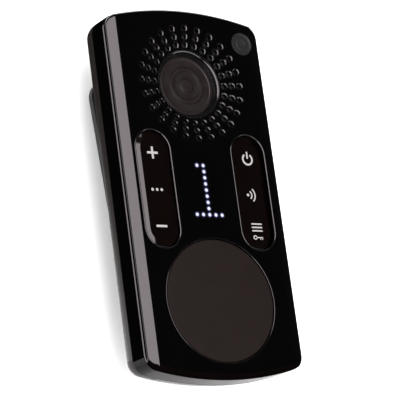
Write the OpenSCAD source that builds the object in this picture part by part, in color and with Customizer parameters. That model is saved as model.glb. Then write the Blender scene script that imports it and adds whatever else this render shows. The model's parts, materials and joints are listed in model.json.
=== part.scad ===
// Slim handheld two-way radio lying on the outer face of its belt clip.
// +Z out of the front face, +Y towards the speaker end, +X to the right.
// The origin is under the middle of the body, at the lowest point of the clip.

/* [Body] */
// Overall width of the body
body_w = 52.4; // [50:0.1:56]
// Overall length of the body
body_l = 107.4; // [105:0.1:114]
// Thickness of the body without the clip
body_t = 15; // [15:0.1:17]
// Radius of the shallow arc across each end
end_r = 95; // [80:1:140]
// Corner radius of the outline
corner_r = 4.6; // [3.5:0.1:5.5]
// Radius of the rolled edge of the back cover
back_r = 6; // [5:0.1:6]
// Wall thickness of the shells
wall = 1.7; // [1.5:0.1:2]

/* [Front panel] */
// Half width of the flat part of the face
face_hw = 22.75; // [22:0.05:23]
// Width of the long side bevels
bevel_w = 2.9; // [2.4:0.1:3]
// Drop of the long side bevels
bevel_drop = 1.25; // [0.8:0.05:1.4]
// Thickness of the panel
panel_t = 1.8; // [1.6:0.1:1.8]

/* [Speaker] */
// Distance of the speaker and of the talk button from the middle
end_y = 31.7; // [31:0.1:32.5]
// Radius of the shallow dish that the sound holes lie in
dish_r = 18.2; // [18:0.1:18.4]
// Depth of the dish at the rim of the well
dish_depth = 1.45; // [1.2:0.05:1.5]
// Radius of the well in the middle of the dish
well_r = 10.2; // [10:0.05:10.2]
// Depth of the badge below the face
well_depth = 2.7; // [2.6:0.1:2.8]
// Radius of the inner ring of sound holes
ring_1 = 11.75; // [11.7:0.05:11.9]
// Step between the rings of sound holes
ring_step = 2.35; // [2.3:0.01:2.4]
// Number of holes in each ring
ring_n = 24; // [18:1:24]
// Radius of one sound hole
hole_r = 0.95; // [0.6:0.01:1]

/* [Talk button] */
// Radius of the talk button
ptt_r = 17.5; // [16:0.1:17.5]
// Height of the crown of the talk button
ptt_crown = 0.35; // [0:0.05:0.6]

/* [Keys] */
// Distance of each key from the centre line
key_x = 15.95; // [15.8:0.05:16.1]
// Half width of a key opening
key_r = 5.5; // [5:0.1:5.6]
// Half distance between the end centres of a key
key_h = 11.35; // [10.5:0.05:11.5]
// Depth of the key tops below the face
key_sink = 0.6; // [0.3:0.1:0.8]

/* [Display] */
// Horizontal pitch of the dots
dot_px = 2.08; // [1.9:0.01:2.2]
// Vertical pitch of the dots
dot_py = 1.79; // [1.6:0.01:1.9]
// Radius of one dot
dot_r = 0.45; // [0.3:0.01:0.5]

/* [Belt clip] */
// Width of the clip arm
clip_w = 38; // [34:0.5:38]
// Length of the clip arm
clip_l = 65; // [62:0.1:66]
// Thickness of the clip arm
clip_t = 2.2; // [2:0.1:2.2]
// Distance from the back face to the outer face of the arm, at its top
clip_out = 10.8; // [10.8:0.1:11.2]
// Slope of the arm towards the body
clip_a = 4.8; // [4:0.1:4.8]

/* [Hidden] */
$fn = 64;
hw = body_w / 2;
hl = body_l / 2;
zb = clip_out;                 // back plane of the body
t = body_t;                    // front plane above the back plane
z_pan = t - panel_t;           // underside of the panel
z_deck = z_pan - 1.2;          // underside of the deck
z_part = t - 7.9;              // parting of mid housing and back cover
pcb_0 = 7.6;                   // underside of the circuit board
pcb_1 = 8.6;                   // top of the circuit board
dome_z = pcb_1 + 0.8;          // top of the dome switches
panel_hw = face_hw + bevel_w;
axle_z = 11.9;                 // height of the key axles
piv_y = 30;                    // clip pivot
piv_z = -4.6;
top_y = 41;                    // upper end of the clip
door_hw = 19;
jack_z = 4.6;                  // axis of the headset socket
mic_z = 10.3;                  // axis of the microphone
door_top = 2;
case_pts = [[-17.5, 46.2], [17.5, 46.2], [-15.6, -47.6], [15.6, -47.6]];
// lower end of a screw post of the mid housing
function post_z(p) = p[1] < 0 ? 5.25 : z_part + 0.05;

// Height of the dish above the back plane at radius r.
function dish_z(r) = r >= dish_r ? t
    : t - dish_depth * pow((dish_r - r) / (dish_r - well_r), 1.15);

// ---------- outlines ----------
// Points of the body outline: straight sides, a shallow arc across each end,
// and rounded corners tangent to both.
function corner_c(w, l, r, c) =
    [w - c, l - r + sqrt((r - c) * (r - c) - (w - c) * (w - c))];
function quarter(w, l, r, c, n) =
    let (cc = corner_c(w, l, r, c),
         a1 = atan2(cc[1] - (l - r), cc[0]))
    concat(
        [for (i = [0:n]) let (a = a1 * i / n)
            [cc[0] + c * cos(a), cc[1] + c * sin(a)]],
        [for (i = [1:n]) let (a = a1 + (90 - a1) * i / n)
            [r * cos(a), l - r + r * sin(a)]]);
function outline(w, l, r, c, n = 8) =
    let (q = quarter(w, l, r, c, n), m = len(q))
    concat(
        q,
        [for (i = [m - 2:-1:0]) [-q[i][0], q[i][1]]],
        [for (i = [0:m - 1]) [-q[i][0], -q[i][1]]],
        [for (i = [m - 2:-1:0]) [q[i][0], -q[i][1]]]);

module slab(inset, z0, z1, n = 8) {
    translate([0, 0, z0])
        linear_extrude(z1 - z0)
            polygon(outline(hw - inset, hl - inset, end_r - inset,
                            max(corner_r - inset, 0.8), n));
}

// A capsule standing on the plane z0.
module capsule(r, h, z0, z1) {
    translate([0, 0, z0]) linear_extrude(z1 - z0) {
        translate([0, h]) circle(r);
        translate([0, -h]) circle(r);
        translate([-r, -h]) square([2 * r, 2 * h]);
    }
}

// The outside of the back cover, rolled with radius rr and pulled in by d.
module back_form(rr, d, top) {
    hull() {
        slab(d, rr + d, top, 6);
        for (a = [15:15:75])
            slab(d + rr * (1 - cos(a)), rr + d - rr * sin(a), rr + d - rr * sin(a) + 0.02, 6);
        slab(d + rr, d, d + 0.02, 6);
    }
}

module place() { translate([0, 0, zb]) children(); }
module at_speaker() { translate([0, end_y, 0]) children(); }
module at_ptt() { translate([0, -end_y, 0]) children(); }

// ---------- casing ----------
module front_panel() {
    color([0.012, 0.011, 0.012]) place() difference() {
        union() {
        intersection() {
            translate([0, 0, z_pan + 0.1]) linear_extrude(panel_t - 0.1)
                polygon(outline(panel_hw, hl - 0.15, end_r, corner_r - 0.6, 10));
            rotate([90, 0, 0]) translate([0, 0, -hl])
                linear_extrude(2 * hl)
                    polygon([[-panel_hw, z_pan], [panel_hw, z_pan],
                             [panel_hw, t - bevel_drop],
                             [panel_hw - bevel_w * 0.12, t - bevel_drop * 0.74],
                             [face_hw + bevel_w * 0.16, t - bevel_drop * 0.05],
                             [face_hw, t], [-face_hw, t],
                             [-face_hw - bevel_w * 0.16, t - bevel_drop * 0.05],
                             [-panel_hw + bevel_w * 0.12, t - bevel_drop * 0.74],
                             [-panel_hw, t - bevel_drop]]);
        }
        // underside of the dish
        at_speaker() rotate_extrude()
            polygon(concat([[well_r - 1, z_pan + 0.4]],
                           [for (i = [0:8]) let (r = well_r - 1 + i * (17.4 - well_r + 1) / 8)
                               [r, dish_z(max(r, well_r)) - 1.1]],
                           [[17.4, z_pan + 0.4]]));
        }
        // dish
        at_speaker() rotate_extrude()
            polygon(concat([[0, t + 1], [0, dish_z(well_r)]],
                           [for (i = [0:12]) let (r = well_r + i * (dish_r - well_r) / 12)
                               [r, dish_z(r)]],
                           [[dish_r, t + 1]]));
        // talk button opening
        at_ptt() translate([0, 0, z_pan - 1]) cylinder(r = ptt_r + 0.15, h = 5);
        // key openings
        for (s = [-1, 1]) translate([s * key_x, 0, 0]) capsule(key_r, key_h, z_pan - 1, t + 1);
        // well and sound holes
        at_speaker() {
            translate([0, 0, z_pan - 1]) cylinder(r = well_r, h = 5);
            for (k = [0:2], i = [0:ring_n - 1])
                rotate([0, 0, i * 360 / ring_n])
                    translate([ring_1 + k * ring_step, 0, z_pan - 1])
                        cylinder(r = hole_r, h = 5, $fn = 24);
        }
        // seat of the corner badge
        translate([19.15, 44.7, t - 0.5]) cylinder(r = 3.45, h = 2);
        // thin window behind the display and seats of the dots
        translate([-5.4, -8.6, z_pan - 1]) cube([10.8, 17.2, 1 + 1.1]);
        lit_dots(t - 0.3, t + 1);
    }
}

// Dots of the figure: a stem, a flag and a foot.
module lit_dots(z0, z1) {
    for (r = [0:8]) dot(0, 4 - r, z0, z1);
    dot(-1, 4, z0, z1);
    for (c = [-2, -1, 1, 2]) dot(c, -4, z0, z1);
}
module dot(c, r, z0, z1) {
    translate([c * dot_px, r * dot_py, z0])
        cylinder(r = dot_r, h = z1 - z0, $fn = 24);
}

module mid_housing() {
    color([0.035, 0.033, 0.034]) place() difference() {
        union() {
            difference() {
                slab(0, z_part + 0.05, z_pan);
                slab(wall, z_part - 1, z_deck);
            }
            for (p = case_pts)
                translate([p[0], p[1], post_z(p)]) cylinder(r = 2.3, h = z_deck + 0.5 - post_z(p));
        }
        // screw pilots
        for (p = case_pts)
            translate([p[0], p[1], 0]) cylinder(r = 0.82, h = 11.4, $fn = 24);
        // openings in the deck
        at_ptt() translate([0, 0, z_deck - 1]) cylinder(r = ptt_r + 0.3, h = 5);
        for (s = [-1, 1])
            translate([s * key_x, 0, 0]) capsule(key_r + 0.1, key_h, z_deck - 1, t);
        at_speaker() translate([0, 0, z_deck - 1]) cylinder(r = 17.9, h = 5);
        translate([-6.6, -9.8, z_deck - 1]) cube([13.2, 19.6, 5]);
        // microphone port in the right side
        translate([hw - wall - 1, -12, mic_z]) rotate([0, 90, 0]) cylinder(r = 0.6, h = 5, $fn = 24);
        // groove of the seal
        difference() {
            slab(0.55, z_part - 1, z_part + 0.75);
            slab(1.15, z_part - 2, z_part + 1);
        }
    }
}

module case_seal() {
    color([0.05, 0.05, 0.05]) place() difference() {
        slab(0.6, z_part + 0.02, z_part + 0.7);
        slab(1.1, z_part - 1, z_part + 1);
    }
}

module door_zone(c, z1) {
    translate([-door_hw - c, -hl - 5, -1]) cube([2 * (door_hw + c), hl + 5 + door_top + c, z1 + 1]);
}

module back_cover() {
    color([0.09, 0.083, 0.078]) place() difference() {
        back_form(back_r, 0, z_part);
        // inside of the shell
        difference() {
            back_form(back_r - wall, wall, z_part + 1);
            // floor and walls of the battery bay
            difference() {
                union() {
                    translate([-20.6, -hl, 0]) cube([41.2, hl + door_top + 1.8, z_part]);
                    // pads under the bracket screws and the upper case screws
                    for (x = [-6, 6], y = [25.2, 34.8])
                        translate([x, y, 0]) cylinder(r = 2.2, h = 4.2);
                    for (p = case_pts) if (p[1] > 0)
                        translate([p[0], p[1], 0]) cylinder(r = 2.8, h = z_part);
                }
                // bay for the battery
                translate([-17.4, -41.6, 0]) cube([34.8, 41.6, z_part + 1]);
                // room below the bay for the lower screw posts
                intersection() {
                    translate([-18.6, -hl, 5.2]) cube([37.2, hl - 43.2, 10]);
                    slab(wall + 1.5, 0, 20);
                }
                for (p = case_pts) if (p[1] < 0)
                    translate([p[0], p[1], 5.2]) cylinder(r = 2.5, h = 10);
            }
        }
        // seat of the battery door
        difference() {
            door_zone(0.12, z_part);
            back_form(back_r - wall - 0.12, wall + 0.12, z_part + 1);
        }
        // mouth of the bay
        translate([-17.4, -41.6, -1]) cube([34.8, 41.6, z_part + 2]);
        // slots of the contacts
        for (x = [-6, 0, 6]) translate([x - 1.4, -1, 3.8]) cube([2.8, 2.2, z_part]);
        // headset socket
        translate([20, 15.5, jack_z]) rotate([0, 90, 0]) cylinder(r = 1.85, h = 10);
        // case screws
        for (p = case_pts) translate([p[0], p[1], -1]) {
            cylinder(r = 1.1, h = 10, $fn = 24);
            cylinder(r = 2.0, h = p[1] > 0 ? 3.2 : 5.15);
        }
        // bracket screws
        for (x = [-6, 6], y = [25.2, 34.8])
            translate([x, y, -1]) cylinder(r = 0.62, h = 1 + 3.6, $fn = 24);
        // room for the top of the magnet
        at_speaker() translate([0, 0, 4.4]) cylinder(r = 9, h = 10);
    }
}

module case_screws() {
    color([0.55, 0.55, 0.56]) place()
        for (p = case_pts) translate([p[0], p[1], 0]) {
            z0 = p[1] > 0 ? 2.25 : 4.2;
            difference() {
                translate([0, 0, z0 - 1.1]) cylinder(r = 1.85, h = 1.05);
                translate([-1.2, -0.25, z0 - 1.3]) cube([2.4, 0.5, 0.7]);
                translate([-0.25, -1.2, z0 - 1.3]) cube([0.5, 2.4, 0.7]);
            }
            translate([0, 0, z0 - 0.1]) cylinder(r = 0.8, h = 7, $fn = 24);
        }
}

// ---------- speaker ----------
module badge_ring() {
    rim = dish_z(well_r);
    color([0.2, 0.19, 0.19]) place() at_speaker() rotate_extrude()
        polygon([[8.9, z_deck + 0.05], [11.2, z_deck + 0.05], [11.2, rim - 1.2],
                 [well_r - 0.05, rim - 1.15], [well_r - 0.05, rim - 0.05], [well_r - 0.2, rim + 0.05],
                 [well_r - 0.6, rim - 0.4], [9.1, t - well_depth + 0.2], [8.9, t - well_depth]]);
}

module speaker_badge() {
    color([0.27, 0.24, 0.23]) place() at_speaker() {
        rotate_extrude()
            polygon([[0, t - well_depth - 0.9], [8.8, t - well_depth - 0.9],
                     [8.8, t - well_depth - 0.15], [8.6, t - well_depth],
                     [7.9, t - well_depth - 0.05], [0, t - well_depth - 0.15]]);
        // plain relief: a ring and a disc
        translate([0, 0, t - well_depth - 0.3]) {
            rotate_extrude() translate([4.3, 0]) square([1.1, 0.5]);
            cylinder(r = 1.9, h = 0.5);
        }
    }
}

module corner_badge() {
    color([0.13, 0.125, 0.125]) place() translate([19.15, 44.7, 0]) {
        translate([0, 0, t - 0.5]) difference() {
            cylinder(r = 3.4, h = 0.62);
            translate([0, 0, 0.5]) cylinder(r = 2.9, h = 1);
        }
        translate([0, 0, t - 0.1]) rotate_extrude($fn = 32) translate([1.2, 0]) square([0.45, 0.16]);
    }
}

module speaker_mesh() {
    color([0.08, 0.08, 0.08]) place() at_speaker() rotate_extrude()
        polygon(concat([for (i = [0:6]) let (r = 11.4 + i)
                           [r, min(dish_z(r) - 1.13, z_pan + 0.08)]],
                       [for (i = [6:-1:0]) let (r = 11.4 + i)
                           [r, min(dish_z(r) - 1.33, z_pan - 0.12)]]));
}

module speaker_gasket() {
    color([0.06, 0.06, 0.06]) place() at_speaker()
        translate([0, 0, z_deck - 0.5]) difference() {
            cylinder(r = 18.9, h = 0.5);
            translate([0, 0, -1]) cylinder(r = 17.2, h = 3);
        }
}

module speaker_frame() {
    color([0.5, 0.5, 0.52]) place() at_speaker() rotate_extrude()
        polygon([[8.2, 6.4], [9.6, 6.4], [18.1, 9.6], [19, 9.6], [19, z_deck - 0.5],
                 [17.2, z_deck - 0.5], [17.2, 10.7], [17.6, 10.3], [9.4, 7.1], [8.2, 7.1]]);
}

module speaker_cone() {
    color([0.13, 0.12, 0.11]) place() at_speaker() rotate_extrude()
        polygon([[0, 10.1], [3.4, 9.7], [5.6, 9.0], [6.2, 9.2], [14.8, 10.7], [15.8, 11.1],
                 [17.1, 10.8], [17.1, 11.0], [15.8, 11.3], [14.7, 10.9],
                 [6.1, 9.45], [5.6, 9.3], [3.4, 9.95], [0, 10.3]]);
}

module voice_coil() {
    color([0.65, 0.35, 0.18]) place() at_speaker() translate([0, 0, 6.9]) difference() {
        cylinder(r = 5.8, h = 2.1);
        translate([0, 0, -1]) cylinder(r = 5.4, h = 5);
    }
}

module speaker_magnet() {
    color([0.32, 0.32, 0.34]) place() at_speaker() difference() {
        translate([0, 0, 4.6]) cylinder(r = 8.1, h = 3.2);
        // gap of the coil
        translate([0, 0, 6.2]) difference() {
            cylinder(r = 6.2, h = 5);
            translate([0, 0, -1]) cylinder(r = 5.0, h = 7);
        }
    }
}

// ---------- display ----------
module display_dots() {
    color([0.86, 0.93, 1.0]) place() lit_dots(t - 0.3, t);
}

module led_matrix() {
    color([0.05, 0.2, 0.1]) place() {
        translate([-6.2, -9.4, 11.2]) cube([12.4, 18.8, 0.8]);
        for (c = [-2:2], r = [-4:4])
            translate([c * dot_px - 0.5, r * dot_py - 0.5, 11.9]) cube([1, 1, 0.6]);
        for (y = [-8.6, 7.4]) translate([-3.5, y, pcb_1]) cube([7, 1.2, 2.7]);
    }
}

// ---------- electronics ----------
module main_board() {
    color([0.04, 0.22, 0.12]) place() difference() {
        slab(wall + 0.6, pcb_0, pcb_1);
        at_speaker() translate([0, 0, 5]) cylinder(r = 19.6, h = 8);
        for (p = case_pts) translate([p[0], p[1], 5]) cylinder(r = 2.6, h = 8);
        translate([-13, 47, 5]) cube([26, 10, 8]);
    }
}

module radio_chips() {
    color([0.07, 0.07, 0.075]) place() {
        translate([-4, -6, pcb_1]) cube([7, 7, 1]);
        translate([-5, 3.2, pcb_1]) cube([4, 3.4, 1.1]);
        translate([1.5, 3, pcb_1]) cube([3.4, 3.4, 0.9]);
        for (x = [-22.6, -20.4]) translate([x, 24, pcb_1]) cube([1.4, 8, 1.2]);
    }
}

module rf_shield() {
    color([0.7, 0.7, 0.7]) place() difference() {
        translate([-18, 4.2, 5.2]) cube([36, 7.4, 2.4]);
        translate([-17.7, 4.5, 5.5]) cube([35.4, 6.8, 3]);
    }
}

// Folded strip along the top end, fed from the left arm of the board.
module antenna() {
    color([0.78, 0.6, 0.3]) place() {
        for (i = [0:7])
            translate([-14 + i * 3.6, 44.5, 3.4]) cube([1.2, 5.2, 0.4]);
        for (i = [0:6])
            translate([-14 + i * 3.6, i % 2 == 0 ? 48.8 : 44.5, 3.4]) cube([4.8, 0.9, 0.4]);
        translate([-14, 48, 3.4]) cube([1.2, 1.7, pcb_0 - 3.4]);
    }
}

module microphone() {
    color([0.75, 0.72, 0.62]) place() translate([0, -12, mic_z]) rotate([0, 90, 0])
        translate([0, 0, hw - wall - 2.4]) cylinder(r = 1.35, h = 1.9);
}

module mic_boot() {
    color([0.09, 0.09, 0.09]) place() translate([0, -12, mic_z]) rotate([0, 90, 0])
        translate([0, 0, hw - wall - 2.6]) difference() {
            cylinder(r = 1.65, h = 2.55);
            translate([0, 0, 0.2]) cylinder(r = 1.35, h = 1.9);
            cylinder(r = 0.6, h = 5, $fn = 24);
        }
}

module headset_jack() {
    color([0.06, 0.06, 0.065]) place() difference() {
        union() {
            translate([12.6, 12.9, 2]) cube([8.8, 5.2, pcb_0 - 2]);
            translate([21, 15.5, jack_z]) rotate([0, 90, 0]) cylinder(r = 1.75, h = hw - 0.3 - 21);
        }
        translate([13.6, 15.5, jack_z]) rotate([0, 90, 0]) cylinder(r = 1.27, h = 20, $fn = 48);
    }
}

module battery_contacts() {
    color([0.83, 0.68, 0.32]) place()
        for (x = [-6, 0, 6]) translate([x - 1, 0, 0]) {
            translate([0, 0.55, 4.6]) cube([2, 0.3, 3.0]);
            translate([0, -0.05, 4.3]) cube([2, 0.9, 0.35]);
        }
}

module battery_pack() {
    color([0.16, 0.2, 0.3]) place() difference() {
        translate([-17, -41.3, 2.0]) cube([34, 40.9, 4.9]);
        for (x = [-6, 0, 6]) translate([x - 1.6, -0.7, 3.2]) cube([3.2, 2, 2.6]);
    }
}

module battery_terminals() {
    color([0.85, 0.7, 0.35]) place()
        for (x = [-6, 0, 6]) translate([x - 1.6, -0.7, 3.2]) cube([3.2, 0.3, 2.6]);
}

module dome(r, h) {
    rotate_extrude($fn = 32)
        polygon([[0, 0], [r, 0], [r, 0.15], [r * 0.72, h * 0.72], [r * 0.35, h], [0, h]]);
}
module ptt_dome() {
    color([0.72, 0.72, 0.74]) place() at_ptt() translate([0, 0, pcb_1]) dome(4, 0.8);
}
module key_domes() {
    for (y = [-11, 0, 11]) translate([0, y, pcb_1]) dome(2.2, 0.8);
}
module left_domes() {
    color([0.72, 0.72, 0.74]) place() translate([-key_x, 0, 0]) key_domes();
}
module right_domes() {
    color([0.72, 0.72, 0.74]) place() translate([key_x, 0, 0]) key_domes();
}

// ---------- talk button ----------
module ptt_button() {
    color([0.05, 0.04, 0.037]) place() at_ptt() difference() {
        rotate_extrude($fn = 96)
            polygon([[0, z_deck - 1.1], [ptt_r + 1.4, z_deck - 1.1], [ptt_r + 1.4, z_deck - 0.1],
                     [ptt_r, z_deck - 0.1], [ptt_r, t - 0.35], [ptt_r - 0.1, t - 0.12], [ptt_r - 0.45, t],
                     for (i = [7:-1:0]) let (x = (ptt_r - 1) * i / 7)
                         [x, t + ptt_crown * (1 - (x / (ptt_r - 1)) * (x / (ptt_r - 1)))]]);
        // hollow underside
        translate([0, 0, 0]) difference() {
            cylinder(r = ptt_r - 1.6, h = t - 1.6);
            translate([0, 0, -1]) cylinder(r = 3.5, h = t);
        }
        // socket of the plunger
        cylinder(r = 2, h = t - 2);
    }
}

module ptt_plunger() {
    color([0.6, 0.6, 0.58]) place() at_ptt() {
        translate([0, 0, 10.2]) cylinder(r = 2, h = t - 2 - 10.2);
        translate([0, 0, dome_z + 0.1]) cylinder(r = 3.2, h = z_deck - 1.1 - dome_z - 0.1);
    }
}

// ---------- keys ----------
// Each cap rocks about a cross axle held by a carrier that itself presses down.
// s is -1 for the left key and 1 for the right key: the outer side is bevelled.
module key_cap(s) {
    tz = t - key_sink;
    difference() {
        union() {
            intersection() {
                capsule(key_r - 0.15, key_h, 11.2, tz);
                // bevel along the outer side
                rotate([90, 0, 0]) translate([0, 0, -20]) linear_extrude(40)
                    polygon([[-s * 6, 11], [s * 6, 11], [s * 6, tz - 0.9],
                             [s * (key_r - 0.15), tz - 0.65], [s * 3.9, tz], [-s * 6, tz]]);
            }
            // tabs that hold the cap under the deck
            intersection() {
                capsule(key_r + 0.7, key_h, 11.2, z_deck - 0.15);
                translate([-10, -2.2, 0]) cube([20, 4.4, 20]);
            }
        }
        // hollow underside
        capsule(key_r - 1.1, key_h, 10, tz - 1.1);
        // eyes of the axle
        translate([-10, 0, axle_z - 0.1]) rotate([0, 90, 0]) cylinder(r = 0.65, h = 20, $fn = 48);
    }
    // end actuators
    for (y = [-11, 11])
        translate([0, y, dome_z + 0.1]) cylinder(r = 1.2, h = tz - 1 - dome_z - 0.1, $fn = 32);
}

module key_carrier() {
    translate([-2.8, -1.8, 10.4]) cube([5.6, 3.6, 2.5]);
    translate([-5.2, 0, axle_z - 0.1]) rotate([0, 90, 0]) cylinder(r = 0.6, h = 10.4, $fn = 48);
    translate([0, 0, dome_z + 0.1]) cylinder(r = 1.2, h = 1.2, $fn = 32);
}

// Marks on the keys, as 2-D shapes.
module bar(x, y, w, h) { translate([x - w / 2, y - h / 2]) square([w, h]); }
module arc(r, w, a0, a1) {
    difference() {
        circle(r + w / 2, $fn = 48);
        circle(r - w / 2, $fn = 48);
        polygon(concat([[0, 0]], [for (i = [0:12])
            let (a = a1 + (360 - (a1 - a0)) * i / 12) [4 * r * cos(a), 4 * r * sin(a)]]));
    }
}
module left_marks() {
    difference() {
        union() { bar(0, 10.4, 3.4, 0.62); bar(0, 10.4, 0.62, 3.4); }
        circle(0.001, $fn = 5);
    }
    for (x = [-1.5, 0, 1.5]) translate([x, -0.2]) circle(0.42, $fn = 24);
    bar(0, -10.7, 3.4, 0.62);
}
module right_marks() {
    translate([0, 9.9]) arc(1.55, 0.55, -240, 60);
    bar(0, 10.9, 0.55, 2.0);
    // sound waves
    translate([-1.2, -0.7]) {
        circle(0.45, $fn = 24);
        arc(1.3, 0.42, -55, 55);
        arc(2.4, 0.42, -50, 50);
    }
    // list
    for (y = [-9.2, -10.2, -11.2]) bar(0, y, 3.6, 0.42);
    // small key
    translate([-1, -13.15]) difference() {
        circle(0.67, $fn = 32);
        circle(0.37, $fn = 32);
    }
    bar(0.55, -13.15, 2.1, 0.3);
    for (x = [0.75, 1.4]) bar(x, -13.5, 0.28, 0.6);
}
module marks(s) { if (s < 0) left_marks(); else right_marks(); }

module cap_with_marks(s) {
    difference() {
        key_cap(s);
        translate([0, 0, t - key_sink - 0.15]) linear_extrude(1) marks(s);
    }
}
module mark_inlays(s) {
    translate([0, 0, t - key_sink - 0.15]) linear_extrude(0.15) marks(s);
}

module left_key_cap() {
    color([0.03, 0.027, 0.027]) place() translate([-key_x, 0, 0]) cap_with_marks(-1);
}
module left_key_icons() {
    color([0.8, 0.79, 0.78]) place() translate([-key_x, 0, 0]) mark_inlays(-1);
}
module left_key_carrier() {
    color([0.5, 0.5, 0.5]) place() translate([-key_x, 0, 0]) key_carrier();
}
module right_key_cap() {
    color([0.03, 0.027, 0.027]) place() translate([key_x, 0, 0]) cap_with_marks(1);
}
module right_key_icons() {
    color([0.8, 0.79, 0.78]) place() translate([key_x, 0, 0]) mark_inlays(1);
}
module right_key_carrier() {
    color([0.5, 0.5, 0.5]) place() translate([key_x, 0, 0]) key_carrier();
}

// ---------- battery door ----------
module battery_door() {
    color([0.1, 0.092, 0.087]) place() difference() {
        intersection() {
            back_form(back_r, 0, z_part - 0.1);
            door_zone(0, z_part);
        }
        back_form(back_r - wall, wall, z_part + 1);
        // thumb grip
        for (i = [0:4])
            translate([-6, -3 - i * 1.6, -0.75]) rotate([0, 90, 0]) cylinder(r = 1, h = 12, $fn = 32);
    }
}

module battery_pad() {
    color([0.14, 0.14, 0.14]) place() translate([-14, -36, 1.85]) cube([28, 30, 0.15]);
}

// ---------- belt clip ----------
module arm_frame() {
    translate([0, top_y, -clip_out]) rotate([-clip_a, 0, 0]) children();
}
module at_pivot() { translate([0, piv_y, piv_z]) rotate([0, 90, 0]) children(); }

module clip_bracket() {
    color([0.07, 0.066, 0.064]) place() difference() {
        union() {
            translate([-12, 23, -1.6]) cube([24, 14, 1.6]);
            for (s = [-1, 1]) {
                translate([s * 10.25 - 1.75, piv_y - 3.6, -2.6]) cube([3.5, 7.2, 2]);
                translate([s * 10.25 - 1.75, piv_y - 2.7, piv_z]) cube([3.5, 5.4, -piv_z]);
                translate([s * 10.25 - 1.75, 0, 0]) at_pivot() cylinder(r = 2.7, h = 3.5);
            }
        }
        translate([-20, 0, 0]) at_pivot() cylinder(r = 1.2, h = 40, $fn = 48);
        for (x = [-6, 6], y = [25.2, 34.8]) translate([x, y, -3]) {
            cylinder(r = 0.9, h = 5, $fn = 24);
            cylinder(r = 1.7, h = 2.2, $fn = 32);
        }
    }
}

module bracket_screws() {
    color([0.55, 0.55, 0.56]) place()
        for (x = [-6, 6], y = [25.2, 34.8]) translate([x, y, 0]) {
            difference() {
                translate([0, 0, -1.55]) cylinder(r = 1.6, h = 0.75, $fn = 32);
                translate([-1, -0.2, -1.7]) cube([2, 0.4, 0.5]);
                translate([-0.2, -1, -1.7]) cube([0.4, 2, 0.5]);
            }
            translate([0, 0, -0.9]) cylinder(r = 0.6, h = 4.4, $fn = 24);
        }
}

module clip_pin() {
    color([0.6, 0.6, 0.62]) place() translate([-11.9, 0, 0]) at_pivot()
        cylinder(r = 1.2, h = 23.8, $fn = 48);
}

// Torsion spring: side by side turns with two legs.
module clip_spring() {
    color([0.5, 0.5, 0.52]) place() translate([0, piv_y, piv_z]) {
        for (i = [-5:5]) translate([i * 0.66, 0, 0]) rotate([0, 90, 0])
            rotate_extrude($fn = 40) translate([1.75, 0]) circle(0.34, $fn = 20);
        translate([-3.3, 0, 1.75]) rotate([90, 0, 0]) cylinder(r = 0.3, h = 4.8, $fn = 20);
        translate([3.3, 0, -1.75]) rotate([90, 0, 0]) cylinder(r = 0.3, h = 5.2, $fn = 20);
    }
}

module belt_clip() {
    color([0.075, 0.07, 0.068]) place() difference() {
        union() {
            // arm with rounded corners
            arm_frame() intersection() {
                translate([0, -clip_l / 2, 0]) linear_extrude(clip_t)
                    polygon(outline(clip_w / 2, clip_l / 2, 60, 6, 8));
                // softened long edges
                rotate([90, 0, 0]) translate([0, 0, -1]) linear_extrude(clip_l + 2)
                    polygon([[-clip_w / 2, 0.5], [-clip_w / 2 + 0.5, 0], [clip_w / 2 - 0.5, 0],
                             [clip_w / 2, 0.5], [clip_w / 2, clip_t - 0.4], [clip_w / 2 - 0.4, clip_t],
                             [-clip_w / 2 + 0.4, clip_t], [-clip_w / 2, clip_t - 0.4]]);
            }
            // bump that holds the belt
            arm_frame() translate([-12, -clip_l + 4.2, 2]) rotate([0, 90, 0])
                cylinder(r = 3.2, h = 24);
            // knuckles and their webs
            for (s = [-1, 1]) {
                translate([s * 6.25 - 1.95, 0, 0]) at_pivot() cylinder(r = 2.6, h = 3.9);
                translate([s * 6.25 - 1.95, piv_y - 2.3, -clip_out + 1.4])
                    cube([3.9, 4.6, clip_out + piv_z - 1.4]);
            }
        }
        // flat outside and bore
        arm_frame() translate([-30, -80, -10]) cube([60, 100, 10]);
        translate([-20, 0, 0]) at_pivot() cylinder(r = 1.25, h = 40, $fn = 48);
    }
}

front_panel();
mid_housing();
back_cover();
case_seal();
case_screws();
badge_ring();
speaker_badge();
corner_badge();
speaker_mesh();
speaker_gasket();
speaker_frame();
speaker_cone();
voice_coil();
speaker_magnet();
display_dots();
led_matrix();
main_board();
radio_chips();
rf_shield();
antenna();
microphone();
mic_boot();
headset_jack();
battery_contacts();
battery_pack();
battery_terminals();
ptt_dome();
left_domes();
right_domes();
ptt_button();
ptt_plunger();
left_key_cap();
left_key_icons();
left_key_carrier();
right_key_cap();
right_key_icons();
right_key_carrier();
battery_door();
battery_pad();
clip_bracket();
bracket_screws();
clip_pin();
clip_spring();
belt_clip();
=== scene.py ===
import bpy
import bmesh
import json
import math
from mathutils import Matrix, Vector
from mathutils.geometry import delaunay_2d_cdt


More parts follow.
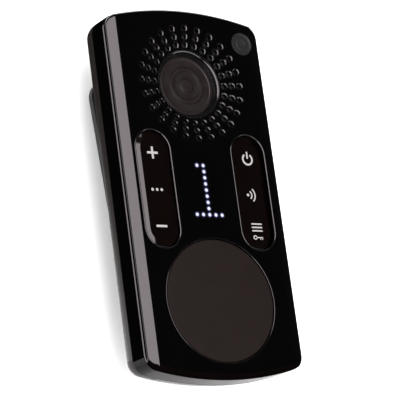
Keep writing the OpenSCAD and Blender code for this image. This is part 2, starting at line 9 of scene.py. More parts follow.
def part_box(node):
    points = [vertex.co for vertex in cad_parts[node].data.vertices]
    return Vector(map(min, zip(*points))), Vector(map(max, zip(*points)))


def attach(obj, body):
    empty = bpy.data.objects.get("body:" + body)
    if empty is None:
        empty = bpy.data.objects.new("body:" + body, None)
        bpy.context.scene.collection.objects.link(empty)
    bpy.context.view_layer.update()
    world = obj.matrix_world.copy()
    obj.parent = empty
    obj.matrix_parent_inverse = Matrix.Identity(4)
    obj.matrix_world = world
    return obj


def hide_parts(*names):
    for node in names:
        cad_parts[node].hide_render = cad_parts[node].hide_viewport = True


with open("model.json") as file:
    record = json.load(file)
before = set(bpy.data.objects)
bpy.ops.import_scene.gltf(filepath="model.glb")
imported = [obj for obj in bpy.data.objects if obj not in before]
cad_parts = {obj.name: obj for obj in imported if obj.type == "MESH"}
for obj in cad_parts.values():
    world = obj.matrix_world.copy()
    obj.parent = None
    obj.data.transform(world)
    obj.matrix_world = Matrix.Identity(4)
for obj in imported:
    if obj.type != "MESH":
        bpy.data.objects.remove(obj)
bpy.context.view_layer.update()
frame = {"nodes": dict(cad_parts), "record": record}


# ------------------------------------------------------------------ measures
def bx(node):
    lo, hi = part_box(node)
    return [c * 1000 for c in lo], [c * 1000 for c in hi]


def size_of(node, axis):
    lo, hi = bx(node)
    return hi[axis] - lo[axis]


def mid_of(node):
    lo, hi = bx(node)
    return [(a + b) / 2 for a, b in zip(lo, hi)]


BACK = bx("back_cover")[0][2]                  # back plane
FACE = bx("front_panel")[1][2]                 # front plane
HW, HL = bx("mid_housing")[1][0], bx("mid_housing")[1][1]
ZPAN = bx("mid_housing")[1][2]                 # top of the middle shell
ZPART = bx("mid_housing")[0][2]                # parting line (posts reach lower)
ZPART = BACK + 7.1
PHW, PHL = bx("front_panel")[1][0], bx("front_panel")[1][1]
ZDECK = ZPAN - 1.2
END_R, CORNER, WALL = 95.0, 4.6, 1.7
SPK = (mid_of("speaker_badge")[0], mid_of("speaker_badge")[1])
PTT = (mid_of("ptt_button")[0], mid_of("ptt_button")[1])
KEY_X = mid_of("right_key_carrier")[0]
FLAT_HW, BEVEL_W, BEVEL_DROP = 22.75, PHW - 22.75, 1.25
DISH_R, DISH_D, WELL_R = 18.2, 1.45, 10.2
PTT_R = 17.5
KEY_R, KEY_H = 5.5, 11.35
BADGE = (mid_of("corner_badge")[0], mid_of("corner_badge")[1])
PIVOT = mid_of("clip_pin")


# ------------------------------------------------------------------ mesh kit
class Build:
    """Collects points in millimetres, faces, and a normal for each face corner."""

    def __init__(self):
        self.v, self.f, self.n, self.m = [], [], [], []

    def p(self, x, y, z):
        self.v.append((x, y, z))
        return len(self.v) - 1

    def face(self, idx, nor=None, mat=0):
        self.f.append(tuple(idx))
        self.n.append(nor)
        self.m.append(mat)

    def obj(self, name, mats, angle=None, custom=True):
        me = bpy.data.meshes.new(name)
        me.from_pydata([(x / 1000, y / 1000, z / 1000) for x, y, z in self.v], [], self.f)
        for m in mats:
            me.materials.append(m)
        for poly, m in zip(me.polygons, self.m):
            poly.use_smooth = True
            poly.material_index = m
        me.update()
        if angle is not None:
            me.set_sharp_from_angle(angle=math.radians(angle))
        if custom and any(n is not None for n in self.n):
            cn = []
            for f, n in zip(self.f, self.n):
                cn += [(0, 0, 0)] * len(f) if n is None else [tuple(c) for c in n]
            me.normals_split_custom_set(cn)
        ob = bpy.data.objects.new(name, me)
        bpy.context.scene.collection.objects.link(ob)
        return ob


def unit(v):
    n = math.sqrt(sum(c * c for c in v)) or 1.0
    return tuple(c / n for c in v)


def corner_c(w, l, r, c):
    return (w - c, l - r + math.sqrt((r - c) ** 2 - (w - c) ** 2))


def outline(w, l, r, c, nc=10, na=14):
    """Body outline with outward normals, counterclockwise."""
    cx, cy = corner_c(w, l, r, c)
    a1 = math.atan2(cy - (l - r), cx)
    q = []
    for i in range(nc + 1):
        a = a1 * i / nc
        q.append(((cx + c * math.cos(a), cy + c * math.sin(a)), (math.cos(a), math.sin(a))))
    for i in range(1, na + 1):
        a = a1 + (math.pi / 2 - a1) * i / na
        q.append(((r * math.cos(a), l - r + r * math.sin(a)), (math.cos(a), math.sin(a))))
    out = list(q)
    for (p, n) in reversed(q[:-1]):
        out.append(((-p[0], p[1]), (-n[0], n[1])))
    for (p, n) in q:
        out.append(((-p[0], -p[1]), (-n[0], -n[1])))
    for (p, n) in reversed(q[:-1]):
        out.append(((p[0], -p[1]), (n[0], -n[1])))
    return out


def split_sides(loop, step=4.0):
    """Adds points along the long straight sides of a loop."""
    out = []
    m = len(loop)
    for i in range(m):
        (p, n), (q, _) = loop[i], loop[(i + 1) % m]
        out.append((p, n))
        d = math.dist(p, q)
        if d > 2 * step:
            k = int(d // step)
            for j in range(1, k):
                s = j / k
                out.append(((p[0] + (q[0] - p[0]) * s, p[1] + (q[1] - p[1]) * s), n))
    return out


def circle(cx, cy, r, n, hole=False):
    s = -1 if hole else 1
    return [((cx + r * math.cos(2 * math.pi * i / n), cy + r * math.sin(2 * math.pi * i / n)),
             (s * math.cos(2 * math.pi * i / n), s * math.sin(2 * math.pi * i / n))) for i in range(n)]


def capsule(cx, r, h, n=24, hole=False, side=4.0):
    s = -1 if hole else 1
    pts = []
    for i in range(n + 1):
        a = math.pi * i / n
        pts.append(((cx + r * math.cos(a), h + r * math.sin(a)), (s * math.cos(a), s * math.sin(a))))
    for i in range(n + 1):
        a = math.pi + math.pi * i / n
        pts.append(((cx + r * math.cos(a), -h + r * math.sin(a)), (s * math.cos(a), s * math.sin(a))))
    return split_sides(pts, side)


def rect(cx, cy, hx, hy, hole=False, r=0.4, n=5):
    s = -1 if hole else 1
    pts = []
    for (sx, sy, a0) in ((1, 1, 0), (-1, 1, 90), (-1, -1, 180), (1, -1, 270)):
        for i in range(n + 1):
            a = math.radians(a0 + 90 * i / n)
            pts.append(((cx + sx * (hx - r) + r * math.cos(a), cy + sy * (hy - r) + r * math.sin(a)),
                        (s * math.cos(a), s * math.sin(a))))
    return pts


def inside(poly, x, y):
    c = False
    j = len(poly) - 1
    for i in range(len(poly)):
        xi, yi = poly[i]
        xj, yj = poly[j]
        if (yi > y) != (yj > y) and x < (xj - xi) * (y - yi) / (yj - yi) + xi:
            c = not c
        j = i
    return c


def fill(build, loops, zf, nf, up=True, lines=(), mat=0):
    """Fills the region between loops[0] and the other loops. Each loop is a list of
    (index, (x, y)) already in the build, and lines are runs of extra (x, y) points."""
    pts, idx, edges = [], [], []
    for lp in loops:
        base = len(pts)
        for k, (i, q) in enumerate(lp):
            pts.append(q)
            idx.append(i)
            edges.append((base + k, base + (k + 1) % len(lp)))
    fixed = len(pts)
    for run, closed in lines:
        base = len(pts)
        for k, q in enumerate(run):
            pts.append(q)
            idx.append(None)
            if k + 1 < len(run):
                edges.append((base + k, base + k + 1))
            elif closed and len(run) > 2:
                edges.append((base + k, base))
    vs, _, fs, ov, _, _ = delaunay_2d_cdt([Vector(q) for q in pts], edges, [], 0, 1e-6, True)
    ids = []
    for k, v in enumerate(vs):
        src = [i for i in ov[k] if i < fixed]
        if src:
            ids.append(idx[src[0]])
        else:
            ids.append(build.p(v[0], v[1], zf(v[0], v[1])))
    outer = [q for _, q in loops[0]]
    holes = []
    for lp in loops[1:]:
        xs = [q[0] for _, q in lp]
        ys = [q[1] for _, q in lp]
        holes.append((min(xs), max(xs), min(ys), max(ys), [q for _, q in lp]))
    for f in fs:
        x = sum(vs[i][0] for i in f) / 3
        y = sum(vs[i][1] for i in f) / 3
        if not inside(outer, x, y):
            continue
        if any(a < x < b and c < y < d and inside(h, x, y) for a, b, c, d, h in holes):
            continue
        order = list(f)
        a, b, c = (vs[i] for i in order)
        ccw = (b[0] - a[0]) * (c[1] - a[1]) - (b[1] - a[1]) * (c[0] - a[0]) > 0
        if ccw != up:
            order.reverse()
        build.face([ids[i] for i in order], [nf(vs[i][0], vs[i][1]) for i in order], mat)


def edge_down(build, loop, zf, nf, zb, fil, steps=3, hole=False, mat=0, wall_mat=0):
    """Breaks the edge of a loop over from the top surface and drops a wall to zb(x, y).
    fil is the radius of the rounding, a function of the outward normal that gives it,
    ("cone", width, slope in degrees) for a countersink, or ("bead", width) for a fine raised rim.
    Returns the top loop and the bottom loop."""
    if isinstance(fil, tuple) and fil[0] == "bead":
        sl = math.radians(24)
        prof = [(1.0, 0.0, 0.0), (0.98, -0.005, -sl), (0.7, -0.13, -sl), (0.62, -0.145, 0.0), (0.54, -0.13, sl),
                (0.12, 0.057, sl), (0.0, 0.25, math.pi / 2)]
    elif isinstance(fil, tuple):
        _, w, slope = fil
        sl = math.radians(slope)
        prof = [(1.0, 0.0, 0.25 * sl), (0.92, 0.04 * math.tan(sl), sl), (0.16, 0.8 * math.tan(sl), sl),
                (0.0, 0.8 * math.tan(sl) + 0.2, math.pi / 2)]
    else:
        prof = [(1 - math.sin(a), 1 - math.cos(a), a) for a in (math.pi / 2 * k / steps for k in range(steps + 1))]
    rings = []
    for d, h, a in prof:
        ring = []
        for (p, n) in loop:
            f = fil[1] if isinstance(fil, tuple) else (fil(n) if callable(fil) else fil)
            q = (p[0] - n[0] * f * d, p[1] - n[1] * f * d)
            s = (p[0] - n[0] * f, p[1] - n[1] * f)
            drop = f * h if f < 0.4 else min(f, 0.75, zf(*s) - zb(*p) - 0.12) * h
            z = zf(*s) - drop
            t = nf(*s)
            nor = unit((n[0] * math.sin(a) + t[0] * math.cos(a),
                        n[1] * math.sin(a) + t[1] * math.cos(a), t[2] * math.cos(a)))
            ring.append((build.p(q[0], q[1], z), q, nor))
        rings.append(ring)
    low = []
    for (p, n) in loop:
        low.append((build.p(p[0], p[1], zb(p[0], p[1])), p, (n[0], n[1], 0)))
    rings.append(low)
    m = len(loop)
    for k in range(len(rings) - 1):
        a, b = rings[k], rings[k + 1]
        for i in range(m):
            j = (i + 1) % m
            quad = [a[i], b[i], b[j], a[j]]
            if hole:
                quad.reverse()
            build.face([q[0] for q in quad], [q[2] for q in quad], mat if k < len(prof) - 1 else wall_mat)
    return [(r[0], r[1]) for r in rings[0]], [(r[0], r[1]) for r in low]


def plate(name, outer, holes, zf, nf, zb, mats, fil=0.2, steps=3, lines=(), low_lines=(), edge_mat=0,
          nb=None, wall_mat=0, pocket=None):
    """A solid between the surface zf and the underside zb, with rounded upper edges.
    holes is a list of (loop, radius of its rounded edge, material of that edge), and
    pocket is (loop, ceiling height) of a hollow that opens downwards."""
    b = Build()
    tops, lows = [], []
    t, l = edge_down(b, outer, zf, nf, zb, fil, steps, mat=edge_mat, wall_mat=wall_mat)
    tops.append(t)
    lows.append(l)
    for lp, hf, em in holes:
        t, l = edge_down(b, lp, zf, nf, zb, hf, steps, hole=True, mat=em, wall_mat=wall_mat)
        tops.append(t)
        lows.append(l)
    if pocket:
        lp, zc = pocket
        base = [(b.p(p[0], p[1], zb(*p)), p, (n[0], n[1], 0)) for p, n in lp]
        up = [(b.p(p[0], p[1], zc), p, (n[0], n[1], 0)) for p, n in lp]
        for i in range(len(lp)):
            j = (i + 1) % len(lp)
            quad = [up[j], base[j], base[i], up[i]]
            b.face([q[0] for q in quad], [q[2] for q in quad], wall_mat)
        lows.append([(q[0], q[1]) for q in base])
        fill(b, [[(q[0], q[1]) for q in up]], lambda x, y: zc, lambda x, y: (0, 0, -1), False, mat=wall_mat)
    fill(b, tops, zf, nf, True, lines)
    fill(b, lows, zb, nb or (lambda x, y: (0, 0, -1)), False, low_lines, mat=wall_mat)
    return b.obj(name, mats)


def lathe(name, prof, at, mats, n=96, angle=35, closed=True):
    """Turns a profile of (radius, height) about the vertical through at."""
    b = Build()
    rings = []
    for r, z in prof:
        if r < 1e-6:
            rings.append([b.p(at[0], at[1], z)] * n)
        else:
            rings.append([b.p(at[0] + r * math.cos(2 * math.pi * i / n),
                              at[1] + r * math.sin(2 * math.pi * i / n), z) for i in range(n)])
    m = len(rings)
    for k in range(m if closed else m - 1):
        a, c = rings[k], rings[(k + 1) % m]
        if a[0] == a[1] and c[0] == c[1]:
            continue
        for i in range(n):
            j = (i + 1) % n
            f = []
            for q in (a[i], a[j], c[j], c[i]):
                if q not in f:
                    f.append(q)
            if len(f) > 2:
                b.face(f)
    ob = b.obj(name, mats)
    fix_normals(ob)
    ob.data.set_sharp_from_angle(angle=math.radians(angle))
    return ob


def round_prof(pts, radii, steps=4):
    """Rounds the corners of a closed profile."""
    out = []
    m = len(pts)
    for i, p in enumerate(pts):
        r = radii[i] if isinstance(radii, (list, tuple)) else radii
        a, c = pts[i - 1], pts[(i + 1) % m]
        if r <= 0 or (p[0] < 1e-6):
            out.append(p)
            continue
        u = (a[0] - p[0], a[1] - p[1])
        w = (c[0] - p[0], c[1] - p[1])
        lu, lw = math.hypot(*u), math.hypot(*w)
        u, w = (u[0] / lu, u[1] / lu), (w[0] / lw, w[1] / lw)
        ang = math.acos(max(-1, min(1, u[0] * w[0] + u[1] * w[1])))
        if ang > math.pi - 0.05:
            out.append(p)
            continue
        d = min(r / math.tan(ang / 2), 0.45 * lu, 0.45 * lw)
        s, e = (p[0] + u[0] * d, p[1] + u[1] * d), (p[0] + w[0] * d, p[1] + w[1] * d)
        for k in range(steps + 1):
            t = k / steps
            q = [(1 - t) ** 2 * s[j] + 2 * t * (1 - t) * p[j] + t * t * e[j] for j in (0, 1)]
            out.append(tuple(q))
    return out


def fix_normals(ob):
    bm = bmesh.new()
    bm.from_mesh(ob.data)
    bmesh.ops.remove_doubles(bm, verts=bm.verts, dist=1e-7)
    bmesh.ops.recalc_face_normals(bm, faces=bm.faces)
    bm.to_mesh(ob.data)
    bm.free()
    ob.data.update()


def loft(rings, name="tmp", mats=(), angle=35, cap=True):
    """Skins a stack of rings, each a list of (x, y, z), and caps the two ends."""
    b = Build()
    ids = [[b.p(*q) for q in r] for r in rings]
    m = len(ids[0])
    for a, c in zip(ids, ids[1:]):
        for i in range(m):
            j = (i + 1) % m
            b.face([a[i], a[j], c[j], c[i]])
    if cap:
        b.face(list(reversed(ids[0])))
        b.face(ids[-1])
    ob = b.obj(name, mats)
    fix_normals(ob)
    ob.data.set_sharp_from_angle(angle=math.radians(angle))
    return ob


def body_ring(d, z, nc=8, na=12):
    """The body outline pulled in by d, at height z."""
    lp = outline(HW - d, HL - d, END_R - d, max(CORNER - d, 0.25 + 0.02 * d), nc, na)
    return [(p[0], p[1], z) for p, _ in lp]


def prism(loop, z0, z1, name="cut"):
    return loft([[(p[0], p[1], z0) for p, _ in loop], [(p[0], p[1], z1) for p, _ in loop]], name)


def boxy(x0, y0, z0, x1, y1, z1, r=0.0, name="cut"):
    if r > 0:
        lp = rect((x0 + x1) / 2, (y0 + y1) / 2, (x1 - x0) / 2, (y1 - y0) / 2, r=r)
        return prism(lp, z0, z1, name)
    lp = [((x0, y0), 0), ((x1, y0), 0), ((x1, y1), 0), ((x0, y1), 0)]
    return prism(lp, z0, z1, name)


def rod(r, a, c, n=48, name="cut", chamfer=0.0):
    """A cylinder from point a to point c, with its ends chamfered."""
    a, c = Vector(a), Vector(c)
    ax = (c - a).normalized()
    u = ax.orthogonal().normalized()
    w = ax.cross(u)
    L = (c - a).length
    stops = [(0, r)] if chamfer <= 0 else [(0, r - chamfer), (chamfer, r)]
    stops += [(L, r)] if chamfer <= 0 else [(L - chamfer, r), (L, r - chamfer)]
    rings = []
    for s, q in stops:
        rings.append([tuple(a + ax * s + (u * math.cos(2 * math.pi * i / n) + w * math.sin(2 * math.pi * i / n)) * q)
                      for i in range(n)])
    return loft(rings, name)


def boolean(ob, others, op="DIFFERENCE"):
    """Applies one boolean after another to a mesh and drops the cutters."""
    for o in others:
        md = ob.modifiers.new("b", "BOOLEAN")
        md.operation = op
        md.solver = "MANIFOLD"
        md.object = o
    dg = bpy.context.evaluated_depsgraph_get()
    dg.update()
    me = bpy.data.meshes.new_from_object(ob.evaluated_get(dg))
    ob.modifiers.clear()
    old = ob.data
    ob.data = me
    bpy.data.meshes.remove(old)
    for o in others:
        d = o.data
        bpy.data.objects.remove(o)
        bpy.data.meshes.remove(d)
    return ob


def settle(ob, name, mats, angle=30, weld=2e-6, soften=0.0, seg=2):
    """Names a finished solid, cleans it, and sets up its shading."""
    ob.name = name
    ob.data.name = name
    bm = bmesh.new()
    bm.from_mesh(ob.data)
    bmesh.ops.remove_doubles(bm, verts=bm.verts, dist=weld)
    bmesh.ops.dissolve_degenerate(bm, edges=bm.edges, dist=1e-7)
    bmesh.ops.dissolve_limit(bm, angle_limit=math.radians(0.5), verts=bm.verts, edges=bm.edges)
    bm.to_mesh(ob.data)
    bm.free()
    ob.data.materials.clear()
    for m in mats:
        ob.data.materials.append(m)
    for p in ob.data.polygons:
        p.use_smooth = True
        p.material_index = 0
    if soften > 0:
        md = ob.modifiers.new("edge", "BEVEL")
        md.width = soften / 1000
        md.segments = seg
        md.limit_method = "ANGLE"
        md.angle_limit = math.radians(angle)
        md.harden_normals = False
        md.use_clamp_overlap = True
        dg = bpy.context.evaluated_depsgraph_get()
        dg.update()
        me = bpy.data.meshes.new_from_object(ob.evaluated_get(dg))
        ob.modifiers.clear()
        ob.data = me
        me.name = name
        for p in me.polygons:
            p.use_smooth = True
    ob.data.set_sharp_from_angle(angle=math.radians(angle if soften <= 0 else 50))
    md = ob.modifiers.new("wn", "WEIGHTED_NORMAL")
    md.keep_sharp = True
    md.weight = 60
    return ob


def join(name, obs):
    """Joins closed meshes into one piece."""
    bm = bmesh.new()
    mats = []
    for o in obs:
        base = len(mats)
        mats += list(o.data.materials)
        tmp = bmesh.new()
        tmp.from_mesh(o.data)
        for f in tmp.faces:
            f.material_index += base
        me = bpy.data.meshes.new("t")
        tmp.to_mesh(me)
        tmp.free()
        bm.from_mesh(me)
        bpy.data.meshes.remove(me)
    me = bpy.data.meshes.new(name)
    bm.to_mesh(me)
    bm.free()
    uniq = []
    for m in mats:
        if m not in uniq:
            uniq.append(m)
    remap = [uniq.index(m) for m in mats]
    for m in uniq:
        me.materials.append(m)
    for p in me.polygons:
        p.use_smooth = True
        p.material_index = remap[p.material_index] if remap else 0
    for o in obs:
        d = o.data
        bpy.data.objects.remove(o)
        bpy.data.meshes.remove(d)
    ob = bpy.data.objects.new(name, me)
    bpy.context.scene.collection.objects.link(ob)
    return ob


# ------------------------------------------------------------------ materials
def material(name, base, rough, *, var=0.15, var_scale=120.0, rvar=0.08, rscale=60.0,
             bump=0.0, bscale=2500.0, bdist=0.00004, metal=0.0, spec=0.5, coat=0.0, coat_rough=0.1,
             wear=0.0, wear_col=(0.2, 0.19, 0.18), ior=1.5, emit=None, emit_str=0.0, detail=6.0, aniso=0.0,
             sheen=0.0, stretch=(1, 1, 1), tint=None):
    """A moulded or metal finish: cloudy colour, smudged roughness, fine grain and worn edges."""
    m = bpy.data.materials.new(name)
    m.use_nodes = True
    nt = m.node_tree
    nd, ln = nt.nodes, nt.links
    bs = nd["Principled BSDF"]
    bs.inputs["Metallic"].default_value = metal
    bs.inputs["Specular IOR Level"].default_value = spec
    bs.inputs["IOR"].default_value = ior
    bs.inputs["Coat Weight"].default_value = coat
    bs.inputs["Coat Roughness"].default_value = coat_rough
    bs.inputs["Sheen Weight"].default_value = sheen
    bs.inputs["Anisotropic"].default_value = aniso
    tc = nd.new("ShaderNodeTexCoord")
    mp = nd.new("ShaderNodeMapping")
    mp.inputs["Scale"].default_value = stretch
    ln.new(tc.outputs["Object"], mp.inputs["Vector"])
    co = mp.outputs["Vector"]
    n1 = nd.new("ShaderNodeTexNoise")
    n1.inputs["Scale"].default_value = var_scale
    n1.inputs["Detail"].default_value = detail
    ln.new(co, n1.inputs["Vector"])
    mix = nd.new("ShaderNodeMix")
    mix.data_type = "RGBA"
    lo = [c * (1 - var) for c in base] + [1]
    hi = [min(1, c * (1 + var)) for c in (tint or base)] + [1]
    mix.inputs["A"].default_value = lo
    mix.inputs["B"].default_value = hi
    ln.new(n1.outputs["Fac"], mix.inputs["Factor"])
    col = mix.outputs["Result"]
    n2 = nd.new("ShaderNodeTexNoise")
    n2.inputs["Scale"].default_value = rscale
    n2.inputs["Detail"].default_value = 4
    n2.inputs["Distortion"].default_value = 0.6
    ln.new(co, n2.inputs["Vector"])
    mr = nd.new("ShaderNodeMapRange")
    mr.inputs["From Min"].default_value = 0.35
    mr.inputs["From Max"].default_value = 0.75
    mr.inputs["To Min"].default_value = max(0.0, rough - rvar * 0.5)
    mr.inputs["To Max"].default_value = min(1.0, rough + rvar)
    ln.new(n2.outputs["Fac"], mr.inputs["Value"])
    rgh = mr.outputs["Result"]
    if wear > 0:
        ge = nd.new("ShaderNodeNewGeometry")
        rp = nd.new("ShaderNodeMapRange")
        rp.inputs["From Min"].default_value = 0.52
        rp.inputs["From Max"].default_value = 0.62
        rp.inputs["To Max"].default_value = wear
        ln.new(ge.outputs["Pointiness"], rp.inputs["Value"])
        n3 = nd.new("ShaderNodeTexNoise")
        n3.inputs["Scale"].default_value = 400
        ln.new(co, n3.inputs["Vector"])
        mu = nd.new("ShaderNodeMath")
        mu.operation = "MULTIPLY"
        ln.new(rp.outputs["Result"], mu.inputs[0])
        ln.new(n3.outputs["Fac"], mu.inputs[1])
        m2 = nd.new("ShaderNodeMix")
        m2.data_type = "RGBA"
        m2.inputs["B"].default_value = list(wear_col) + [1]
        ln.new(mu.outputs["Value"], m2.inputs["Factor"])
        ln.new(col, m2.inputs["A"])
        col = m2.outputs["Result"]
    ln.new(col, bs.inputs["Base Color"])
    ln.new(rgh, bs.inputs["Roughness"])
    if bump > 0:
        n4 = nd.new("ShaderNodeTexNoise")
        n4.inputs["Scale"].default_value = bscale
        n4.inputs["Detail"].default_value = 3
        ln.new(co, n4.inputs["Vector"])
        bp = nd.new("ShaderNodeBump")
        bp.inputs["Strength"].default_value = bump
        bp.inputs["Distance"].default_value = bdist
        ln.new(n4.outputs["Fac"], bp.inputs["Height"])
        ln.new(bp.outputs["Normal"], bs.inputs["Normal"])
    if emit is not None:
        bs.inputs["Emission Color"].default_value = list(emit) + [1]
        bs.inputs["Emission Strength"].default_value = emit_str
    return m


GLOSS = material("gloss_black", (0.0004, 0.00035, 0.00036), 0.045, rvar=0.03, rscale=40, var=0.3, var_scale=60,
                 bump=0.012, bscale=260, spec=0.5)
# partly painted highlight: a slightly lighter, rougher copy of the gloss black for the rounded edges of the openings
# and sound holes; the lighter base paints a faint light outline, its gloss reflects the lamps
GLOSS_EDGE_LIT = material("gloss_edge_painted_outline", (0.0022, 0.002, 0.002), 0.15, rvar=0.05, rscale=200, var=0.3,
                      bump=0.03, bscale=900, spec=0.62)

# painted shade: a brownish copy of the gloss black without specular, for the rounding of the bottom end of the front
# face, which then shows as a flat dark-brown band instead of reflecting the room
GLOSS_END_SHADE = material("gloss_end_painted_shade", (0.0012, 0.0008, 0.0007), 0.12, rvar=0.05, rscale=60, var=0.3, bump=0.02,
                     bscale=400, spec=0.0)


# copies of the housing black that differ in specular level and roughness; laid on by facing direction, they paint how
# strongly each wall reflects the room (no specular on the side walls and top, graded specular on faces turned towards
# -Y)
def housing(k, spec, rough=0.14):
    return material("housing_black_%d" % k, (0.0005, 0.00045, 0.00045), rough, rvar=0.05, rscale=90, var=0.3,
                    bump=0.05, bscale=1500, spec=spec, wear=0.06, wear_col=(0.012, 0.011, 0.0105))


HOUSING = housing(0, 0.0)
HOUSING_1 = housing(1, 0.085, 0.17)
HOUSING_2 = housing(2, 0.066, 0.19)
HOUSING_3 = housing(3, 0.042, 0.22)
# painted highlight: a lighter, glossier copy of the housing black for the topmost edge rounding of the middle shell,
# so that edge shows as a thin bright line
RIM_HIGHLIGHT = material("housing_rim_painted_highlight", (0.004, 0.0038, 0.0038), 0.09, rvar=0.04, rscale=120, var=0.3, bump=0.03,
               bscale=900, spec=0.5)
BACKP = material("back_satin", (0.0088, 0.0077, 0.0072), 0.27, rvar=0.08, rscale=150, var=0.25, var_scale=300,
                 bump=0.22, bscale=5200, bdist=0.00003, spec=0.022, wear=0.08, wear_col=(0.04, 0.038, 0.037))
# painted light and shade: a lighter, shinier copy of the back satin for faces turned towards -Y and a darker, duller
# copy for faces turned towards +Y
BACKP_PAINTED_LIT = material("back_satin_painted_lit", (0.0135, 0.0122, 0.0116), 0.3, rvar=0.08, rscale=150, var=0.25, var_scale=300,
                     bump=0.22, bscale=5200, bdist=0.00003, spec=0.08, wear=0.08, wear_col=(0.04, 0.038, 0.037))
BACKP_PAINTED_SHADE = material("back_satin_painted_shade", (0.006, 0.005, 0.005), 0.3, rvar=0.08, rscale=150, var=0.25, var_scale=300,
                     bump=0.22, bscale=5200, bdist=0.00003, spec=0.002)
# painted sheen: the specular level of the satin rises towards the foot of the body (object Y below zero), a painted
# reflection gradient standing in for brighter light there
_nt = BACKP.node_tree
_tc = _nt.nodes.new("ShaderNodeTexCoord")
_sx = _nt.nodes.new("ShaderNodeSeparateXYZ")
_mr = _nt.nodes.new("ShaderNodeMapRange")
_mr.inputs["From Min"].default_value, _mr.inputs["From Max"].default_value = 0.05, -0.05
_pw = _nt.nodes.new("ShaderNodeMath")
_pw.operation = "POWER"
_pw.inputs[1].default_value = 4.0
_ml = _nt.nodes.new("ShaderNodeMath")
_ml.operation = "MULTIPLY_ADD"
_ml.inputs[1].default_value, _ml.inputs[2].default_value = 0.26, 0.0
_bs = next(x for x in _nt.nodes if x.type == "BSDF_PRINCIPLED")
_nt.links.new(_tc.outputs["Object"], _sx.inputs["Vector"])
_nt.links.new(_sx.outputs["Y"], _mr.inputs["Value"])
_nt.links.new(_mr.outputs["Result"], _pw.inputs[0])
_nt.links.new(_pw.outputs["Value"], _ml.inputs[0])
_nt.links.new(_ml.outputs["Value"], _bs.inputs["Specular IOR Level"])
RUBBER = material("talk_rubber", (0.0063, 0.0032, 0.0023), 0.62, rvar=0.1, rscale=140, var=0.14, var_scale=220,
                  bump=0.3, bscale=5200, bdist=0.00004, spec=0.15,
                  tint=(0.0068, 0.0035, 0.0026))
KEYTOP = material("key_gloss", (0.0013, 0.0006, 0.0005), 0.11, rvar=0.05, rscale=120, var=0.3, bump=0.05,
                  bscale=800, spec=0.5)
PRINT = material("key_print", (0.205, 0.198, 0.192), 0.5, rvar=0.1, rscale=600, var=0.08, var_scale=900,
                 bump=0.15, bscale=6000)
RING = material("ring_gloss", (0.003, 0.0028, 0.0028), 0.08, rvar=0.04, rscale=300, var=0.2, spec=0.6,
                bump=0.05, bscale=1200)
BADGEM = material("badge_bronze", (0.0064, 0.0034, 0.0031), 0.4, rvar=0.1, rscale=260, var=0.22, var_scale=240,
                  spec=0.45, bump=0.2, bscale=4200)
CORNERM = material("corner_steel", (0.0095, 0.0093, 0.0093), 0.4, rvar=0.1, rscale=500, var=0.2, metal=0.2,
                   bump=0.15, bscale=3200)
CLOTH = material("speaker_cloth", (0.006, 0.006, 0.006), 0.9, rvar=0.05, var=0.5, var_scale=2600, bump=0.9,
                 bscale=3800, bdist=0.0001, spec=0.2, sheen=0.2)
STEEL = material("steel", (0.52, 0.52, 0.53), 0.28, rvar=0.15, rscale=500, var=0.12, var_scale=500, metal=1.0,
                 bump=0.1, bscale=3000, stretch=(1, 1, 6), wear=0.2, wear_col=(0.75, 0.75, 0.76))
ZINC = material("zinc_screw", (0.36, 0.36, 0.37), 0.34, rvar=0.15, rscale=900, var=0.2, metal=1.0, bump=0.15,
                bscale=4000, wear=0.3, wear_col=(0.6, 0.6, 0.62))
SEAL = material("seal_rubber", (0.012, 0.012, 0.012), 0.75, rvar=0.08, var=0.3, bump=0.4, bscale=3000)
CLIPM = material("clip_nylon", (0.0055, 0.005, 0.0048), 0.42, rvar=0.1, rscale=200, var=0.25, var_scale=260,
                 bump=0.3, bscale=3600, bdist=0.00005, wear=0.3, wear_col=(0.12, 0.115, 0.11))
JACKM = material("jack_black", (0.012, 0.012, 0.013), 0.3, rvar=0.1, rscale=400, var=0.3, bump=0.15,
                 bscale=3000, wear=0.3)
CELL = material("battery_wrap", (0.035, 0.05, 0.11), 0.33, rvar=0.12, rscale=180, var=0.2, var_scale=120,
                bump=0.1, bscale=500)
GOLD = material("gold_contact", (0.86, 0.6, 0.24), 0.22, rvar=0.1, rscale=900, var=0.1, metal=1.0, bump=0.1,
                bscale=3500, wear=0.2, wear_col=(0.9, 0.75, 0.45))
PCB = material("solder_mask", (0.008, 0.075, 0.035), 0.32, rvar=0.12, rscale=700, var=0.45, var_scale=900,
               bump=0.4, bscale=1400, bdist=0.00003, detail=2, tint=(0.02, 0.12, 0.06))
CHIP = material("chip_epoxy", (0.014, 0.014, 0.015), 0.55, rvar=0.1, rscale=900, var=0.3, bump=0.4, bscale=6000)
CAN = material("tin_can", (0.6, 0.6, 0.58), 0.3, rvar=0.15, rscale=200, var=0.1, metal=1.0, bump=0.15,
               bscale=900)
PAPER = material("cone_paper", (0.03, 0.028, 0.025), 0.85, rvar=0.06, var=0.3, var_scale=900, bump=0.8,
                 bscale=2400, bdist=0.0001, sheen=0.15)
COPPER = material("copper_coil", (0.7, 0.3, 0.14), 0.3, rvar=0.1, var=0.2, var_scale=1500, metal=1.0, bump=0.6,
                  bscale=900, stretch=(0.2, 0.2, 9))
FERRITE = material("magnet_nickel", (0.42, 0.42, 0.43), 0.27, rvar=0.12, rscale=300, var=0.15, metal=1.0,
                   bump=0.1, bscale=2000, wear=0.2, wear_col=(0.6, 0.6, 0.6))
ABS = material("grey_acetal", (0.34, 0.34, 0.33), 0.5, rvar=0.1, rscale=300, var=0.1, bump=0.2, bscale=2500)
FOAM = material("foam_pad", (0.03, 0.03, 0.031), 0.95, rvar=0.04, var=0.5, var_scale=3000, bump=1.0,
                bscale=2600, bdist=0.0002)
GASK = material("foam_gasket", (0.02, 0.02, 0.02), 0.95, rvar=0.04, var=0.5, var_scale=3000, bump=1.0,
                bscale=2800, bdist=0.0002)
